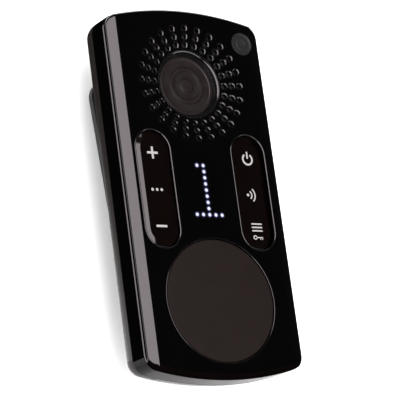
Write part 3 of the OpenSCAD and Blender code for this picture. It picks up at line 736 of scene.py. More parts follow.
MICM = material("mic_can", (0.55, 0.5, 0.38), 0.35, rvar=0.15, rscale=600, var=0.15, metal=0.9, bump=0.15,
                bscale=2500)
LEDB = material("led_board", (0.25, 0.25, 0.22), 0.45, rvar=0.1, rscale=800, var=0.25, var_scale=900, bump=0.3,
                bscale=1800)
DOME = material("dome_steel", (0.6, 0.6, 0.6), 0.22, rvar=0.1, rscale=900, var=0.08, metal=1.0, bump=0.08,
                bscale=2500)

ld = bpy.data.materials.new("lit_dot")
ld.use_nodes = True
_n, _l = ld.node_tree.nodes, ld.node_tree.links
_b = _n["Principled BSDF"]
_b.inputs["Roughness"].default_value = 0.25
_at = _n.new("ShaderNodeAttribute")
_at.attribute_name = "glow"
_no = _n.new("ShaderNodeTexNoise")
_no.inputs["Scale"].default_value = 900
_tc = _n.new("ShaderNodeTexCoord")
_l.new(_tc.outputs["Object"], _no.inputs["Vector"])
_rp = _n.new("ShaderNodeValToRGB")
_rp.color_ramp.elements[0].color = (0.001, 0.001, 0.003, 1)
_rp.color_ramp.elements[1].color = (0.95, 0.96, 1.0, 1)
_e = _rp.color_ramp.elements.new(0.3)
_e.color = (0.012, 0.011, 0.075, 1)
_e = _rp.color_ramp.elements.new(0.62)
_e.color = (0.3, 0.32, 0.75, 1)
_e = _rp.color_ramp.elements.new(0.8)
_e.color = (0.85, 0.88, 1.0, 1)
_l.new(_at.outputs["Fac"], _rp.inputs["Fac"])
_l.new(_rp.outputs["Color"], _b.inputs["Emission Color"])
_b.inputs["Emission Strength"].default_value = 1.0
_mx = _n.new("ShaderNodeMix")
_mx.data_type = "RGBA"
_mx.inputs["A"].default_value = (0.003, 0.003, 0.005, 1)
_mx.inputs["B"].default_value = (0.012, 0.012, 0.02, 1)
_l.new(_no.outputs["Fac"], _mx.inputs["Factor"])
_l.new(_mx.outputs["Result"], _b.inputs["Base Color"])
LIT = ld


# ------------------------------------------------------------------ front panel
def dish(r):
    if r >= DISH_R:
        return 0.0, 0.0
    s = (DISH_R - r) / (DISH_R - WELL_R)
    return DISH_D * s ** 1.15, DISH_D * 1.15 * s ** 0.15 / (DISH_R - WELL_R)


def panel_z(x, y):
    a = abs(x)
    e, m = 0.3, BEVEL_DROP / BEVEL_W
    if a <= FLAT_HW - e:
        z = FACE
    elif a < FLAT_HW + e:
        z = FACE - m * (a - FLAT_HW + e) ** 2 / (4 * e)
    else:
        z = FACE - m * (a - FLAT_HW)
    return z - dish(math.hypot(x - SPK[0], y - SPK[1]))[0]


def panel_n(x, y):
    a = abs(x)
    e, m = 0.3, BEVEL_DROP / BEVEL_W
    s = 0.0 if a <= FLAT_HW - e else (m * (a - FLAT_HW + e) / (2 * e) if a < FLAT_HW + e else m)
    nx = s * (1 if x > 0 else -1)
    ny = 0.0
    r = math.hypot(x - SPK[0], y - SPK[1])
    g = dish(r)[1]
    if r < DISH_R:
        # the crease of the dish is eased over half a millimetre
        g *= min(1.0, (DISH_R - r) / 0.5)
        nx -= g * (x - SPK[0]) / r
        ny -= g * (y - SPK[1]) / r
    return unit((nx, ny, 1.0))


def panel_low(x, y):
    r = math.hypot(x - SPK[0], y - SPK[1])
    return min(ZPAN + 0.1, panel_z(x, y) - 1.1) if r < 17.4 else ZPAN + 0.1


outer = split_sides(outline(PHW, PHL, END_R, CORNER - 0.6, 12, 24), 4)
ring_lines = []
for r in (10.55, 17.85, DISH_R):
    ring_lines.append(([(SPK[0] + r * math.cos(2 * math.pi * i / 96), SPK[1] + r * math.sin(2 * math.pi * i / 96))
                        for i in range(96)], True))
for k in range(3):
    for i in range(24):
        a = math.radians(15 * i + 7.5)
        for dr in (-0.6, 0, 0.6):
            r = 11.75 + 2.35 * k + dr
            ring_lines.append(([(SPK[0] + r * math.cos(a), SPK[1] + r * math.sin(a))], False))
for s in (-1, 1):
    for dx in (-0.3, 0.0, 0.3, 1.4):
        x = s * (FLAT_HW + dx)
        run = []
        for i in range(-25, 26):
            y = i * 2.0
            if abs(y) > 48.9 - max(0, dx) * 0.6:
                continue
            if s > 0 and dx < 0.2 and abs(y - BADGE[1]) < (3.2 if dx < -0.1 else 2.2):
                if len(run) > 1:
                    ring_lines.append((run, False))
                run = []
                continue
            run.append((x, y))
        if len(run) > 1:
            ring_lines.append((run, False))
# the edges of the openings and sound holes (material 1) take the lighter edge copy, a painted light outline
holes = [(circle(PTT[0], PTT[1], PTT_R + 0.2, 128, True), ("bead", 0.2), 1),
         (circle(SPK[0], SPK[1], WELL_R, 96, True), 0.12, 1),
         (circle(BADGE[0], BADGE[1], 3.42, 48, True), 0.06, 1)]
for s in (-1, 1):
    holes.append((capsule(s * KEY_X, KEY_R, KEY_H, 28, True), ("bead", 0.42), 1))
for k in range(3):
    for i in range(24):
        a = math.radians(15 * i)
        r = 11.75 + 2.35 * k
        holes.append((circle(SPK[0] + r * math.cos(a), SPK[1] + r * math.sin(a), 0.74, 24, True), ("cone", 0.33, 24), 1))
panel = plate("front_face", outer, holes, panel_z, panel_n, panel_low, [GLOSS, GLOSS_EDGE_LIT, GLOSS_END_SHADE],
              fil=lambda n: 0.22 + 1.0 * n[1] ** 2, steps=6, lines=ring_lines)
# the bottom end's rounding takes the painted-shade copy
for p in panel.data.polygons:
    if abs(p.normal.y) > 0.05 and p.center.y * 1000 < -HL + 5.5 and p.material_index == 0:
        p.material_index = 2
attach(panel, "housing")
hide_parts("front_panel")


# ------------------------------------------------------------------ speaker badge and ring
rim = FACE - DISH_D
disc_top = FACE - 2.7
ring = lathe("well_ring", round_prof([
    (8.92, ZDECK + 0.06), (11.1, ZDECK + 0.06), (11.1, rim - 1.22), (10.14, rim - 1.2),
    (10.14, rim - 0.05), (10.08, rim + 0.02), (9.64, rim - 0.165), (9.52, rim - 0.5), (9.4, disc_top + 0.05),
    (8.92, disc_top - 0.02)],
    [0.03, 0.05, 0.05, 0.03, 0.02, 0.03, 0.05, 0.1, 0.05, 0.03], 3), SPK, [RING], 128)
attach(ring, "housing")
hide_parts("badge_ring")
badge = lathe("badge_disc", round_prof([
    (0, disc_top - 0.9), (8.78, disc_top - 0.9), (8.78, disc_top - 0.12), (8.6, disc_top),
    (7.9, disc_top - 0.03), (7.7, disc_top - 0.12),
    (5.7, disc_top - 0.14), (5.35, disc_top + 0.2), (4.45, disc_top + 0.2), (4.1, disc_top - 0.15),
    (2.3, disc_top - 0.15), (1.9, disc_top + 0.2), (0, disc_top + 0.26)], 0.1, 3), SPK, [BADGEM], 96)
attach(badge, "housing")
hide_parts("speaker_badge")
cb = lathe("corner_disc", round_prof([
    (0, FACE - 0.5), (3.36, FACE - 0.5), (3.36, FACE + 0.08), (3.05, FACE + 0.12), (2.85, FACE + 0.0),
    (1.75, FACE + 0.0), (1.65, FACE + 0.07), (1.2, FACE + 0.07), (1.1, FACE + 0.0), (0, FACE + 0.0)],
    0.05, 3), BADGE, [CORNERM], 64)
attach(cb, "housing")
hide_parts("corner_badge")


# ------------------------------------------------------------------ middle shell
rings = [body_ring(0.12, ZPART + 0.05), body_ring(0.03, ZPART + 0.09), body_ring(0, ZPART + 0.18)]
for a in (0, 22, 44, 66):
    a = math.radians(a)
    rings.append(body_ring(0.14 * (1 - math.cos(a)), ZPAN - 0.36 + 0.14 * math.sin(a)))
rings += [body_ring(0.34, ZPAN - 0.12), body_ring(0.38, ZPAN - 0.112), body_ring(0.5, ZPAN - 0.112),
          body_ring(0.54, ZPAN - 0.34)]
mid = loft(rings)
cuts = [loft([body_ring(WALL, ZPART - 1), body_ring(WALL, ZDECK)]),
        prism(circle(PTT[0], PTT[1], PTT_R + 0.3, 96), ZDECK - 1, ZPAN + 2),
        prism(circle(SPK[0], SPK[1], 17.9, 96), ZDECK - 1, ZPAN + 2),
        boxy(-6.6, -9.8, ZDECK - 1, 6.6, 9.8, ZPAN + 2)]
for s in (-1, 1):
    cuts.append(prism(capsule(s * KEY_X, KEY_R + 0.1, KEY_H, 20, side=50), ZDECK - 1, ZPAN + 2))
mic = mid_of("microphone")
cuts.append(rod(0.6, (HW - 3, mic[1], mic[2]), (HW + 2, mic[1], mic[2]), 32))
cuts.append(rod(0.85, (HW - 0.25, mic[1], mic[2]), (HW + 0.5, mic[1], mic[2]), 32))
boolean(mid, cuts)
case_pts = [(-17.5, 46.2), (17.5, 46.2), (-15.6, -47.6), (15.6, -47.6)]
posts = []
for x, y in case_pts:
    z0 = BACK + 5.25 if y < 0 else ZPART + 0.05
    posts.append(rod(2.3, (x, y, z0), (x, y, ZDECK + 0.4), 40, chamfer=0.1))
boolean(mid, posts, "UNION")
boolean(mid, [rod(0.82, (x, y, BACK), (x, y, BACK + 11.4), 24) for x, y in case_pts])
settle(mid, "middle_shell", [HOUSING, HOUSING_1, HOUSING_2, HOUSING_3, RIM_HIGHLIGHT], 28)


def paint(ob, rule):
    """Gives each face the material number that rule(centre in mm, normal) returns."""
    for p in ob.data.polygons:
        c = p.center
        p.material_index = rule((c.x * 1000, c.y * 1000, c.z * 1000), p.normal)


# painted reflection and highlight: picks the housing copy by how far a face turns towards -Y, and gives the topmost
# edge rounding the painted-highlight rim
def wall_painted_reflection(c, n):
    a = abs(n.y)
    # the topmost edge rounding takes the painted-highlight rim
    if c[2] > ZPAN - 0.37 and 0.6 < n.z < 0.98 and abs(c[1]) < HL - 5:
        return 4
    if n.z > 0.3 or n.y > 0.08:
        return 0
    return 0 if a < 0.14 else (1 if a < 0.25 else (2 if a < 0.42 else 3))


paint(mid, wall_painted_reflection)
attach(mid, "housing")
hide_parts("mid_housing")


# ------------------------------------------------------------------ back cover and door
def back_rings(rr, d, top, steps=10):
    out = [body_ring(d + rr, BACK + d)]
    for i in range(1, steps + 1):
        a = math.pi / 2 * (1 - i / steps)
        out.append(body_ring(d + rr * (1 - math.cos(a)), BACK + rr + d - rr * math.sin(a)))
    out.append(body_ring(d, top))
    return out


def back_solid(rr, d, top, lip=0.0):
    rings = back_rings(rr, d, top - lip)
    if lip > 0:
        rings += [body_ring(d + 0.03, top - 0.06), body_ring(d + 0.12, top)]
    return loft(rings)


DOOR_HW = bx("battery_door")[1][0]
DOOR_TOP = bx("battery_door")[1][1]
back = back_solid(6, 0, ZPART, 0.16)
cavity = back_solid(6 - WALL, WALL, ZPART + 1)
keep = [boxy(-20.6, -HL - 1, BACK - 1, 20.6, DOOR_TOP + 1.8, ZPART + 2)]
for x in (-6, 6):
    for y in (25.2, 34.8):
        keep.append(rod(2.2, (x, y, BACK - 1), (x, y, BACK + 4.2), 32))
for x, y in case_pts:
    if y > 0:
        keep.append(rod(2.8, (x, y, BACK - 1), (x, y, ZPART + 2), 40))
boolean(cavity, keep)
boolean(back, [cavity])
boolean(back, [boxy(-17.4, -41.6, BACK - 2, 17.4, 0, ZPART + 2, 0.8)])
room = boxy(-18.6, -HL, BACK + 5.2, 18.6, -43.2, BACK + 15.2)
lim = loft([body_ring(WALL + 1.5, BACK), body_ring(WALL + 1.5, BACK + 20)])
boolean(room, [lim], "INTERSECT")
slot_zone = boxy(-DOOR_HW - 0.12, -HL - 5, BACK - 2, DOOR_HW + 0.12, DOOR_TOP + 0.12, ZPART)
inner = back_solid(6 - WALL - 0.12, WALL + 0.12, ZPART + 1)
boolean(slot_zone, [inner])
more = [room, slot_zone]
for x, y in case_pts:
    if y < 0:
        more.append(rod(2.5, (x, y, BACK + 5.2), (x, y, BACK + 15), 40))
    more.append(rod(1.1, (x, y, BACK - 1), (x, y, BACK + 9), 24))
    more.append(rod(2.0, (x, y, BACK - 1), (x, y, BACK + (3.2 if y > 0 else 5.15)), 40))
for x in (-6, 0, 6):
    more.append(boxy(x - 1.4, -1, BACK + 3.8, x + 1.4, 1.2, ZPART + 2))
for x in (-6, 6):
    for y in (25.2, 34.8):
        more.append(rod(0.62, (x, y, BACK - 1), (x, y, BACK + 3.6), 24))
jack = mid_of("headset_jack")
jz = BACK + 4.6
jy = jack[1]
more.append(rod(1.85, (20, jy, jz), (30, jy, jz), 48))
more.append(rod(9, (SPK[0], SPK[1], BACK + 4.4), (SPK[0], SPK[1], BACK + 14), 64))
boolean(back, more)
settle(back, "rear_shell", [BACKP, BACKP_PAINTED_LIT, BACKP_PAINTED_SHADE], 28)
# painted light and shade: faces turned towards +Y take the darker copy, faces turned towards -Y the lighter, shinier
# copy
paint(back, lambda c, n: 2 if n.y > 0.3 else (1 if n.y < -0.06 else 0))
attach(back, "housing")
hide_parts("back_cover")

door = back_solid(6, 0, ZPART - 0.1)
boolean(door, [boxy(-DOOR_HW, -HL - 5, BACK - 2, DOOR_HW, DOOR_TOP, ZPART + 1, 0.5)], "INTERSECT")
grip = [back_solid(6 - WALL, WALL, ZPART + 1)]
for i in range(5):
    y = -3 - i * 1.6
    grip.append(rod(1.0, (-6, y, BACK - 0.75), (6, y, BACK - 0.75), 32, chamfer=0.2))
boolean(door, grip)
settle(door, "door_cover", [BACKP], 28)
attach(door, "door")
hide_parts("battery_door")


# ------------------------------------------------------------------ talk button
tz = FACE
prof = [(0, ZDECK - 1.1), (3.4, ZDECK - 1.1), (3.4, FACE - 1.7), (PTT_R - 1.6, FACE - 1.7),
        (PTT_R - 1.6, ZDECK - 1.1), (PTT_R + 1.35, ZDECK - 1.1), (PTT_R + 1.35, ZDECK - 0.12),
        (PTT_R, ZDECK - 0.12), (PTT_R, tz - 0.42)]
for k in range(1, 6):
    a = math.pi / 2 * k / 5
    prof.append((PTT_R - 0.45 * (1 - math.cos(a)), tz - 0.42 + 0.4 * math.sin(a)))
for i in range(12, -1, -1):
    x = (PTT_R - 1.0) * i / 12
    prof.append((x, tz + 0.33 * (1 - (x / (PTT_R - 1.0)) ** 2)))
ptt = lathe("talk_pad", prof, PTT, [RUBBER], 128, 40)
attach(ptt, "talk_button")
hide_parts("ptt_button")


# ------------------------------------------------------------------ keys
def make_key(side):
    s = -1 if side == "left" else 1
    cx = s * KEY_X
    top = bx(side + "_key_icons")[1][2]
    # the outer side's slope follows the round ends as well
    R = KEY_R - 0.15
    w = 1.55
    m = 0.65 / w

    def side_d(x, y):
        # distance inside the outer edge, counted only on the outer half
        yy = max(0.0, abs(y) - KEY_H)
        r = math.hypot(x - cx, yy)
        return R - r

    def share(x, y):
        yy = max(0.0, abs(y) - KEY_H)
        sy = yy * (1 if y > 0 else -1)
        a = math.atan2(sy, s * (x - cx))
        a = abs(a)
        t = (math.radians(80) - a) / math.radians(45)
        t = max(0.0, min(1.0, t))
        return t * t * (3 - 2 * t)

    def zk(x, y):
        if s * (x - cx) <= 0:
            return top
        d = side_d(x, y)
        k = share(x, y)
        return top - k * m * max(0.0, w - d) if d < w else top

    def nk(x, y):
        h = 0.02
        gx = (zk(x + h, y) - zk(x - h, y)) / (2 * h)
        gy = (zk(x, y + h) - zk(x, y - h)) / (2 * h)
        return unit((-gx, -gy, 1))

    loop = capsule(cx, R, KEY_H, 28, side=3)
    lines = []
    for d in (w + 0.08, w - 0.08, w * 0.5):
        lp = capsule(cx, R - d, KEY_H, 24, side=3)
        run = [p for p, _ in lp if s * (p[0] - cx) > 0.6]
        run.sort(key=lambda q: q[1])
        lines.append((run, False))
    cap = plate(side + "_key_top", loop, [], zk, nk, lambda x, y: BACK + 11.2, [KEYTOP], fil=0.25, lines=lines,
                steps=4, pocket=(capsule(cx, KEY_R - 1.1, KEY_H, 20, True), top - 1.1))
    # tabs below the deck and actuators
    tabs = []
    for t in (-1, 1):
        tabs.append(boxy(cx + t * (KEY_R - 0.6) - 0.75, -2.2, ZDECK - 0.8, cx + t * (KEY_R - 0.6) + 0.75 + 0.05 * t,
                         2.2, ZDECK - 0.16, 0.3, side + "_tab"))
    acts = []
    for y in (-11, 11):
        acts.append(rod(1.2, (cx, y, BACK + 9.5), (cx, y, top - 1.05), 32, chamfer=0.12))
    for o in tabs + acts:
        settle(o, o.name, [KEYTOP], 30)
    ob = cap
    extra = join(side + "_key_under", tabs + acts)
    extra.data.set_sharp_from_angle(angle=math.radians(35))
    return ob, extra


def strip(pts, w, z0, z1, b, closed=False, n_round=6):
    """Adds a raised stroke of width w along a run of points."""
    m = len(pts)
    left, right = [], []
    for i, p in enumerate(pts):
        if closed:
            a, c = pts[i - 1], pts[(i + 1) % m]
        else:
            a, c = pts[max(0, i - 1)], pts[min(m - 1, i + 1)]
        d = unit((c[0] - a[0], c[1] - a[1]))
        left.append((p[0] - d[1] * w / 2, p[1] + d[0] * w / 2))
        right.append((p[0] + d[1] * w / 2, p[1] - d[0] * w / 2))
    if closed:
        for i in range(m):
            j = (i + 1) % m
            quad_prism([left[i], right[i], right[j], left[j]], z0, z1, b, True)
    else:
        poly(right + list(reversed(left)), z0, z1, b)


def quad_prism(q, z0, z1, b, open_ends=False):
    lo = [b.p(x, y, z0) for x, y in q]
    hi = [b.p(x, y, z1) for x, y in q]
    b.face(hi, [(0, 0, 1)] * 4)
    b.face(list(reversed(lo)))
    b.face([lo[1], lo[2], hi[2], hi[1]])
    b.face([lo[3], lo[0], hi[0], hi[3]])


def poly(q, z0, z1, b):
    area = sum(q[i][0] * q[(i + 1) % len(q)][1] - q[(i + 1) % len(q)][0] * q[i][1] for i in range(len(q)))
    if area < 0:
        q = list(reversed(q))
    c = (sum(p[0] for p in q) / len(q), sum(p[1] for p in q) / len(q))
    e = 0.03
    ins = [(p[0] + (c[0] - p[0]) * min(0.3, e / max(0.05, math.dist(p, c))),
            p[1] + (c[1] - p[1]) * min(0.3, e / max(0.05, math.dist(p, c)))) for p in q]
    lo = [b.p(x, y, z0) for x, y in q]
    md = [b.p(x, y, z1 - 0.012) for x, y in q]
    hi = [b.p(x, y, z1) for x, y in ins]
    n = len(q)
    b.face(hi, [(0, 0, 1)] * n)
    b.face(list(reversed(lo)))
    for i in range(n):
        j = (i + 1) % n
        b.face([lo[i], lo[j], md[j], md[i]])
        b.face([md[i], md[j], hi[j], hi[i]])


def dot(cx, cy, r, z0, z1, b, n=24):
    poly([(cx + r * math.cos(2 * math.pi * i / n), cy + r * math.sin(2 * math.pi * i / n)) for i in range(n)],
         z0, z1, b)


def bar(cx, cy, w, h, z0, z1, b, r=0.12):
    q = []
    for sx, sy, a0 in ((1, 1, 0), (-1, 1, 90), (-1, -1, 180), (1, -1, 270)):
        for i in range(4):
            a = math.radians(a0 + 30 * i)
            q.append((cx + sx * (w / 2 - r) + r * math.cos(a), cy + sy * (h / 2 - r) + r * math.sin(a)))
    poly(q, z0, z1, b)


def arc_pts(cx, cy, r, a0, a1, n=28):
    return [(cx + r * math.cos(math.radians(a0 + (a1 - a0) * i / n)),
             cy + r * math.sin(math.radians(a0 + (a1 - a0) * i / n))) for i in range(n + 1)]


for side in ("left", "right"):
    s = -1 if side == "left" else 1
    cap, under = make_key(side)
    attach(cap, side + "_key")
    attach(under, side + "_key")
    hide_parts(side + "_key_cap")
    top = bx(side + "_key_icons")[1][2]
    z0, z1 = top - 0.05, top + 0.025
    b = Build()
    cx = s * KEY_X
    if side == "left":
        plus = []
        w, L = 0.33, 1.75
        for (x, y) in ((w, w), (w, L), (-w, L), (-w, w), (-L, w), (-L, -w), (-w, -w), (-w, -L), (w, -L), (w, -w),
                       (L, -w), (L, w)):
            plus.append((cx + x, 10.4 + y))
        lo = [b.p(x, y, z0) for x, y in plus]
        hi = [b.p(x, y, z1) for x, y in plus]
        b.face(hi if sum(plus[i][0] * plus[(i + 1) % 12][1] - plus[(i + 1) % 12][0] * plus[i][1]
                         for i in range(12)) > 0 else list(reversed(hi)))
        b.face(lo)
        for i in range(12):
            j = (i + 1) % 12
            b.face([lo[i], lo[j], hi[j], hi[i]])
        for x in (-1.5, 0, 1.5):
            dot(cx + x, -0.25, 0.42, z0, z1, b)
        bar(cx, -10.7, 3.5, 0.64, z0, z1, b)
    else:
        strip(arc_pts(cx, 9.9, 1.58, 125, 415, 40), 0.52, z0, z1, b)
        bar(cx, 11.1, 0.52, 2.1, z0, z1, b)
        dot(cx - 1.5, -0.7, 0.42, z0, z1, b)
        strip(arc_pts(cx - 1.5, -0.7, 1.3, -55, 55, 18), 0.42, z0, z1, b)
        strip(arc_pts(cx - 1.5, -0.7, 2.4, -48, 48, 24), 0.42, z0, z1, b)
        for y in (-9.2, -10.2, -11.2):
            bar(cx, y, 3.6, 0.42, z0, z1, b)
        strip(arc_pts(cx - 1.0, -13.15, 0.52, 10, 350, 28), 0.3, z0, z1, b)
        bar(cx + 0.55, -13.15, 2.1, 0.3, z0, z1, b, 0.08)
        bar(cx + 0.75, -13.5, 0.28, 0.6, z0, z1, b, 0.08)
        bar(cx + 1.4, -13.5, 0.28, 0.6, z0, z1, b, 0.08)
    ic = b.obj(side + "_key_marks", [PRINT])
    fix_normals(ic)
    ic.data.set_sharp_from_angle(angle=math.radians(40))
    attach(ic, side + "_key")
    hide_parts(side + "_key_icons")


# ------------------------------------------------------------------ lit dots
dots = [(0, 4 - r) for r in range(9)] + [(-1, 4)] + [(c, -4) for c in (-2, -1, 1, 2)]
b = Build()
glow = []
for c, r in dots:
    cx, cy = c * 2.08, r * 1.79
    prof = [(0.0, 0.03, 1.0), (0.3, 0.028, 1.0), (0.42, 0.024, 0.85), (0.5, 0.016, 0.5), (0.62, 0.012, 0.28),
            (0.86, 0.008, 0.0)]
    n = 24
    rg = []
    for rad, h, g in prof:
        if rad == 0:
            i0 = b.p(cx, cy, FACE + h)
            glow.append(g)
            rg.append([i0] * n)
        else:
            ids = []
            for i in range(n):
                ids.append(b.p(cx + rad * math.cos(2 * math.pi * i / n), cy + rad * math.sin(2 * math.pi * i / n),
                               FACE + h))
                glow.append(g)
            rg.append(ids)
    low = []
    for i in range(n):
        low.append(b.p(cx + 0.86 * math.cos(2 * math.pi * i / n), cy + 0.86 * math.sin(2 * math.pi * i / n),
                       FACE - 0.02))
        glow.append(0.0)
    rg.append(low)
    for a, d in zip(rg, rg[1:]):
        for i in range(n):
            j = (i + 1) % n
            f = []
            for q in (a[i], d[i], d[j], a[j]):
                if q not in f:
                    f.append(q)
            b.face(f)
    b.face(list(reversed(low)))
lit = b.obj("lit_dots", [LIT], 60)
at = lit.data.attributes.new("glow", "FLOAT", "POINT")
for i, g in enumerate(glow):
    at.data[i].value = g
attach(lit, "housing")
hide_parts("display_dots")


# ------------------------------------------------------------------ belt clip
clip_lo, clip_hi = bx("belt_clip")
mount = [m for m in frame["record"]["mounts"] if m["name"] == "clip_face"][0]
CA = math.radians(4.8)
CW, CL, CT = clip_hi[0], 65.0, 2.2
TOP_Y = 41.0


def clip_frame(x, y, z):
    """From the arm's own frame (y back from its top end, z from the outer face) to the part's."""
    return (x, TOP_Y + y * math.cos(CA) + z * math.sin(CA), 0.0 - y * math.sin(CA) + z * math.cos(CA))


def arm_ring(d, z):
    lp = outline(CW - d, CL / 2 - d, 60 - d, 6 - d, 12, 16)
    return [clip_frame(p[0], p[1] - CL / 2, z) for p, _ in lp]


rings = []
for a in (90, 67.5, 45, 22.5, 0):
    a = math.radians(a)
    rings.append(arm_ring(0.45 * (1 - math.cos(a)), 0.45 - 0.45 * math.sin(a)))
for a in (0, 22.5, 45, 67.5, 90):
    a = math.radians(a)
    rings.append(arm_ring(0.4 * (1 - math.cos(a)), CT - 0.4 + 0.4 * math.sin(a)))
arm = loft(rings)
c0 = clip_frame(-12, -CL + 4.2, 2.0)
c1 = clip_frame(12, -CL + 4.2, 2.0)
ridge = rod(3.2, c0, c1, 64, chamfer=0.35)
# knuckles
parts = [ridge]
for s in (-1, 1):
    x0 = s * 6.25 - 1.95
    parts.append(rod(2.6, (x0, PIVOT[1], PIVOT[2]), (x0 + 3.9, PIVOT[1], PIVOT[2]), 48, chamfer=0.15))
    parts.append(boxy(x0, PIVOT[1] - 2.3, 1.4, x0 + 3.9, PIVOT[1] + 2.3, PIVOT[2]))
boolean(arm, parts, "UNION")
low = loft([[clip_frame(x, y, -6) for x, y in ((-30, -80), (30, -80), (30, 20), (-30, 20))],
            [clip_frame(x, y, 0.0) for x, y in ((-30, -80), (30, -80), (30, 20), (-30, 20))]])
boolean(arm, [low, rod(1.25, (-20, PIVOT[1], PIVOT[2]), (20, PIVOT[1], PIVOT[2]), 48)])
settle(arm, "clip_arm", [CLIPM], 30)
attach(arm, "clip")
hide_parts("belt_clip")

# the bracket
br = boxy(-12, 23, BACK - 1.6, 12, 37, BACK, 1.0)
parts = []
for s in (-1, 1):
    x0 = s * 10.25 - 1.75
    parts.append(boxy(x0, PIVOT[1] - 3.6, BACK - 2.6, x0 + 3.5, PIVOT[1] + 3.6, BACK - 0.6, 0.4))
    parts.append(boxy(x0, PIVOT[1] - 2.7, PIVOT[2], x0 + 3.5, PIVOT[1] + 2.7, BACK - 0.5))
    parts.append(rod(2.7, (x0, PIVOT[1], PIVOT[2]), (x0 + 3.5, PIVOT[1], PIVOT[2]), 48, chamfer=0.2))
boolean(br, parts, "UNION")
cuts = [rod(1.2, (-20, PIVOT[1], PIVOT[2]), (20, PIVOT[1], PIVOT[2]), 48)]
for x in (-6, 6):
    for y in (25.2, 34.8):
        cuts.append(rod(0.9, (x, y, BACK - 4), (x, y, BACK + 2), 24))
        cuts.append(rod(1.7, (x, y, BACK - 4), (x, y, BACK - 0.8), 32))
boolean(br, cuts)
settle(br, "clip_base", [CLIPM], 30)
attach(br, "housing")
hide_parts("clip_bracket")

# the spring: one wire, wound and with two legs
spl = bpy.data.curves.new("spring_wire", "CURVE")
spl.dimensions = "3D"
spl.bevel_depth = 0.0003
spl.bevel_resolution = 5
spl.use_fill_caps = True
pts = []
sp_lo, sp_hi = bx("clip_spring")
turns, hx = 10, 3.3
pts.append((-hx, sp_lo[1] + 0.35, PIVOT[2] + 1.75))
pts.append((-hx, PIVOT[1] - 1.5, PIVOT[2] + 1.75))
for i in range(turns * 20 + 11):
    a = math.pi / 2 - 2 * math.pi * i / 20
    x = -hx + 2 * hx * i / (turns * 20 + 10)
    pts.append((x, PIVOT[1] + 1.75 * math.cos(a), PIVOT[2] + 1.75 * math.sin(a)))
pts.append((hx, PIVOT[1] - 1.5, PIVOT[2] - 1.75))
pts.append((hx, sp_lo[1] + 0.3, PIVOT[2] - 1.75))
sp = spl.splines.new("POLY")
sp.points.add(len(pts) - 1)
for q, p in zip(sp.points, pts):
    q.co = (p[0] / 1000, p[1] / 1000, p[2] / 1000, 1)
spring = bpy.data.objects.new("spring_wire", spl)
bpy.context.scene.collection.objects.link(spring)
spl.materials.append(STEEL)
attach(spring, "clip")
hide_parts("clip_spring")


# ------------------------------------------------------------------ screws
def screw(x, y, z_face, head_r, head_h, shank_r, length, name):
    """A pan head facing down at z_face, with a cross recess, and a threaded shank going up."""
    n = 40
    prof = [(0, z_face), (head_r * 0.55, z_face + 0.02), (head_r * 0.85, z_face + 0.12), (head_r, z_face + 0.4),
            (head_r, z_face + head_h), (shank_r, z_face + head_h)]
    z = z_face + head_h + 0.3
    prof.append((shank_r, z))
    while z < z_face + head_h + length - 0.8:
        prof += [(shank_r * 0.78, z + 0.12), (shank_r, z + 0.3)]
        z += 0.42
    prof += [(shank_r * 0.6, z + 0.4), (0, z + 0.45)]
    ob = lathe(name, prof, (x, y), [ZINC], n, 30)
    cross = [boxy(x - head_r * 0.62, y - 0.22, z_face - 0.5, x + head_r * 0.62, y + 0.22, z_face + 0.5),
             boxy(x - 0.22, y - head_r * 0.62, z_face - 0.5, x + 0.22, y + head_r * 0.62, z_face + 0.5)]
    boolean(ob, cross)
    return settle(ob, name, [ZINC], 30)


def group(name, obs, body, node):
    mods = [o for o in obs]
    for o in mods:
        o.modifiers.clear()
    g = join(name, mods)
    g.data.set_sharp_from_angle(angle=math.radians(30))
    md = g.modifiers.new("wn", "WEIGHTED_NORMAL")
    md.keep_sharp = True
    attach(g, body)
    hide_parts(node)
    return g


group("shell_screws", [screw(x, y, BACK + (1.15 if y > 0 else 3.1), 1.85, 1.05, 0.78, 6.6, "s") for x, y in case_pts],
      "housing", "case_screws")
group("base_screws", [screw(x, y, BACK - 1.55, 1.55, 0.74, 0.58, 4.2, "s") for x in (-6, 6) for y in (25.2, 34.8)],
      "housing", "bracket_screws")


# ------------------------------------------------------------------ carried-over CAD pieces
def give(node, mat):
    ob = frame["nodes"][node]
    if not ob.material_slots:
        ob.data.materials.append(mat)
    for sl in ob.material_slots:
        sl.material = mat


for node, mat in {
    "case_seal": SEAL, "speaker_mesh": CLOTH, "speaker_gasket": GASK, "speaker_frame": STEEL,
    "speaker_cone": PAPER, "voice_coil": COPPER, "speaker_magnet": FERRITE, "led_matrix": LEDB,
    "main_board": PCB, "radio_chips": CHIP, "rf_shield": CAN, "antenna": GOLD, "microphone": MICM,
    "mic_boot": SEAL, "headset_jack": JACKM, "battery_contacts": GOLD, "battery_pack": CELL,
    "battery_terminals": GOLD, "ptt_dome": DOME, "left_domes": DOME, "right_domes": DOME,
    "ptt_plunger": ABS, "left_key_carrier": ABS, "right_key_carrier": ABS, "battery_pad": FOAM,
    "clip_pin": STEEL,
}.items():
    give(node, mat)


# ------------------------------------------------------------------ floor, light and camera
fl = Build()
N = 24
S = 3000.0
for i in range(N + 1):
    for j in range(N + 1):
        fl.p(-S + 2 * S * i / N, -S + 2 * S * j / N, -0.02)
for i in range(N):
    for j in range(N):
        a = i * (N + 1) + j
        fl.face([a, a + N + 1, a + N + 2, a + 1])
floor = fl.obj("floor", [material("floor_paper", (0.8, 0.8, 0.8), 0.85, var=0.012, var_scale=3, rvar=0.05,
                                  bump=0.05, bscale=900, spec=0.15)])

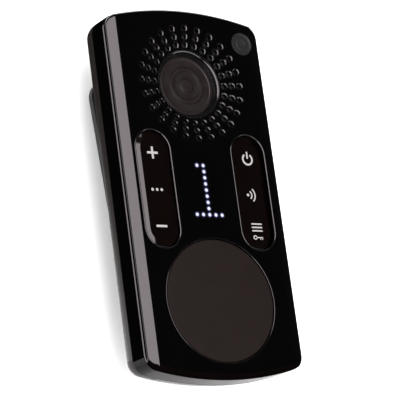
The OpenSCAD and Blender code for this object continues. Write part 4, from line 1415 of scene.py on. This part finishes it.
world = bpy.data.worlds.new("studio")
bpy.context.scene.world = world
world.use_nodes = True
wn, wl = world.node_tree.nodes, world.node_tree.links
bg = wn["Background"]                       # what the gloss reflects
bg.inputs["Color"].default_value = (1, 1, 1, 1)
bg.inputs["Strength"].default_value = 0.02
bg2 = wn.new("ShaderNodeBackground")         # what lies behind the floor
bg2.inputs["Color"].default_value = (0.96, 0.96, 0.96, 1)
bg2.inputs["Strength"].default_value = 1.0
bg3 = wn.new("ShaderNodeBackground")         # the soft light of the room
bg3.inputs["Color"].default_value = (1, 1, 1, 1)
bg3.inputs["Strength"].default_value = 2.4
lp = wn.new("ShaderNodeLightPath")
m1 = wn.new("ShaderNodeMixShader")
wl.new(lp.outputs["Is Diffuse Ray"], m1.inputs["Fac"])
wl.new(bg.outputs["Background"], m1.inputs[1])
wl.new(bg3.outputs["Background"], m1.inputs[2])
mx = wn.new("ShaderNodeMixShader")
wl.new(lp.outputs["Is Camera Ray"], mx.inputs["Fac"])
wl.new(m1.outputs["Shader"], mx.inputs[1])
wl.new(bg2.outputs["Background"], mx.inputs[2])
wl.new(mx.outputs["Shader"], wn["World Output"].inputs["Surface"])


def softbox(name, direction, dist, sx, sy, radiance, col=(1, 1, 1)):
    """A rectangular lamp that looks at the body from a direction; sx runs across the body, sy along it."""
    d = Vector(direction).normalized()
    la = bpy.data.lights.new(name, "AREA")
    la.shape = "RECTANGLE"
    la.size, la.size_y = sx, sy
    la.energy = radiance * math.pi * sx * sy
    la.color = col
    ob = bpy.data.objects.new(name, la)
    bpy.context.scene.collection.objects.link(ob)
    c = Vector((0, 0, FACE / 1000))
    ob.location = c + d * dist
    u = (Vector((1, 0, 0)) - d * d.x).normalized()
    v = d.cross(u)
    ob.rotation_euler = Matrix((u, v, d)).transposed().to_euler()
    return ob


softbox("key_box", (-0.2, 0.07, 0.977), 1.2, 0.6, 1.3, 5.6, (1.0, 0.9, 0.93))
softbox("front_fill", (-0.75, -0.6, 0.35), 1.1, 0.4, 0.4, 3.0)
softbox("arc_box", (0.5, -0.29, 0.82), 1.2, 0.95, 0.18, 3.6, (1.0, 0.94, 0.95))

cam = bpy.data.cameras.new("camera")
cam.sensor_width = 36
cam.lens = 2265.53 * 36 / 400
cam.clip_start, cam.clip_end = 0.01, 20
co = bpy.data.objects.new("camera", cam)
bpy.context.scene.collection.objects.link(co)
# position from the front plane, the same distance above it whatever the clip's depth
loc = Vector((-0.3513, -0.16316, FACE / 1000 + 0.49862))
X = Vector((0.8317, -0.1298, 0.5399))
Y = Vector((-0.0345, 0.9583, 0.2837))
Z = Vector((-0.5542, -0.2546, 0.7925))
co.matrix_world = Matrix(((X.x, Y.x, Z.x, loc.x), (X.y, Y.y, Z.y, loc.y), (X.z, Y.z, Z.z, loc.z), (0, 0, 0, 1)))
bpy.context.scene.camera = co
bpy.context.scene.view_settings.view_transform = "Standard"
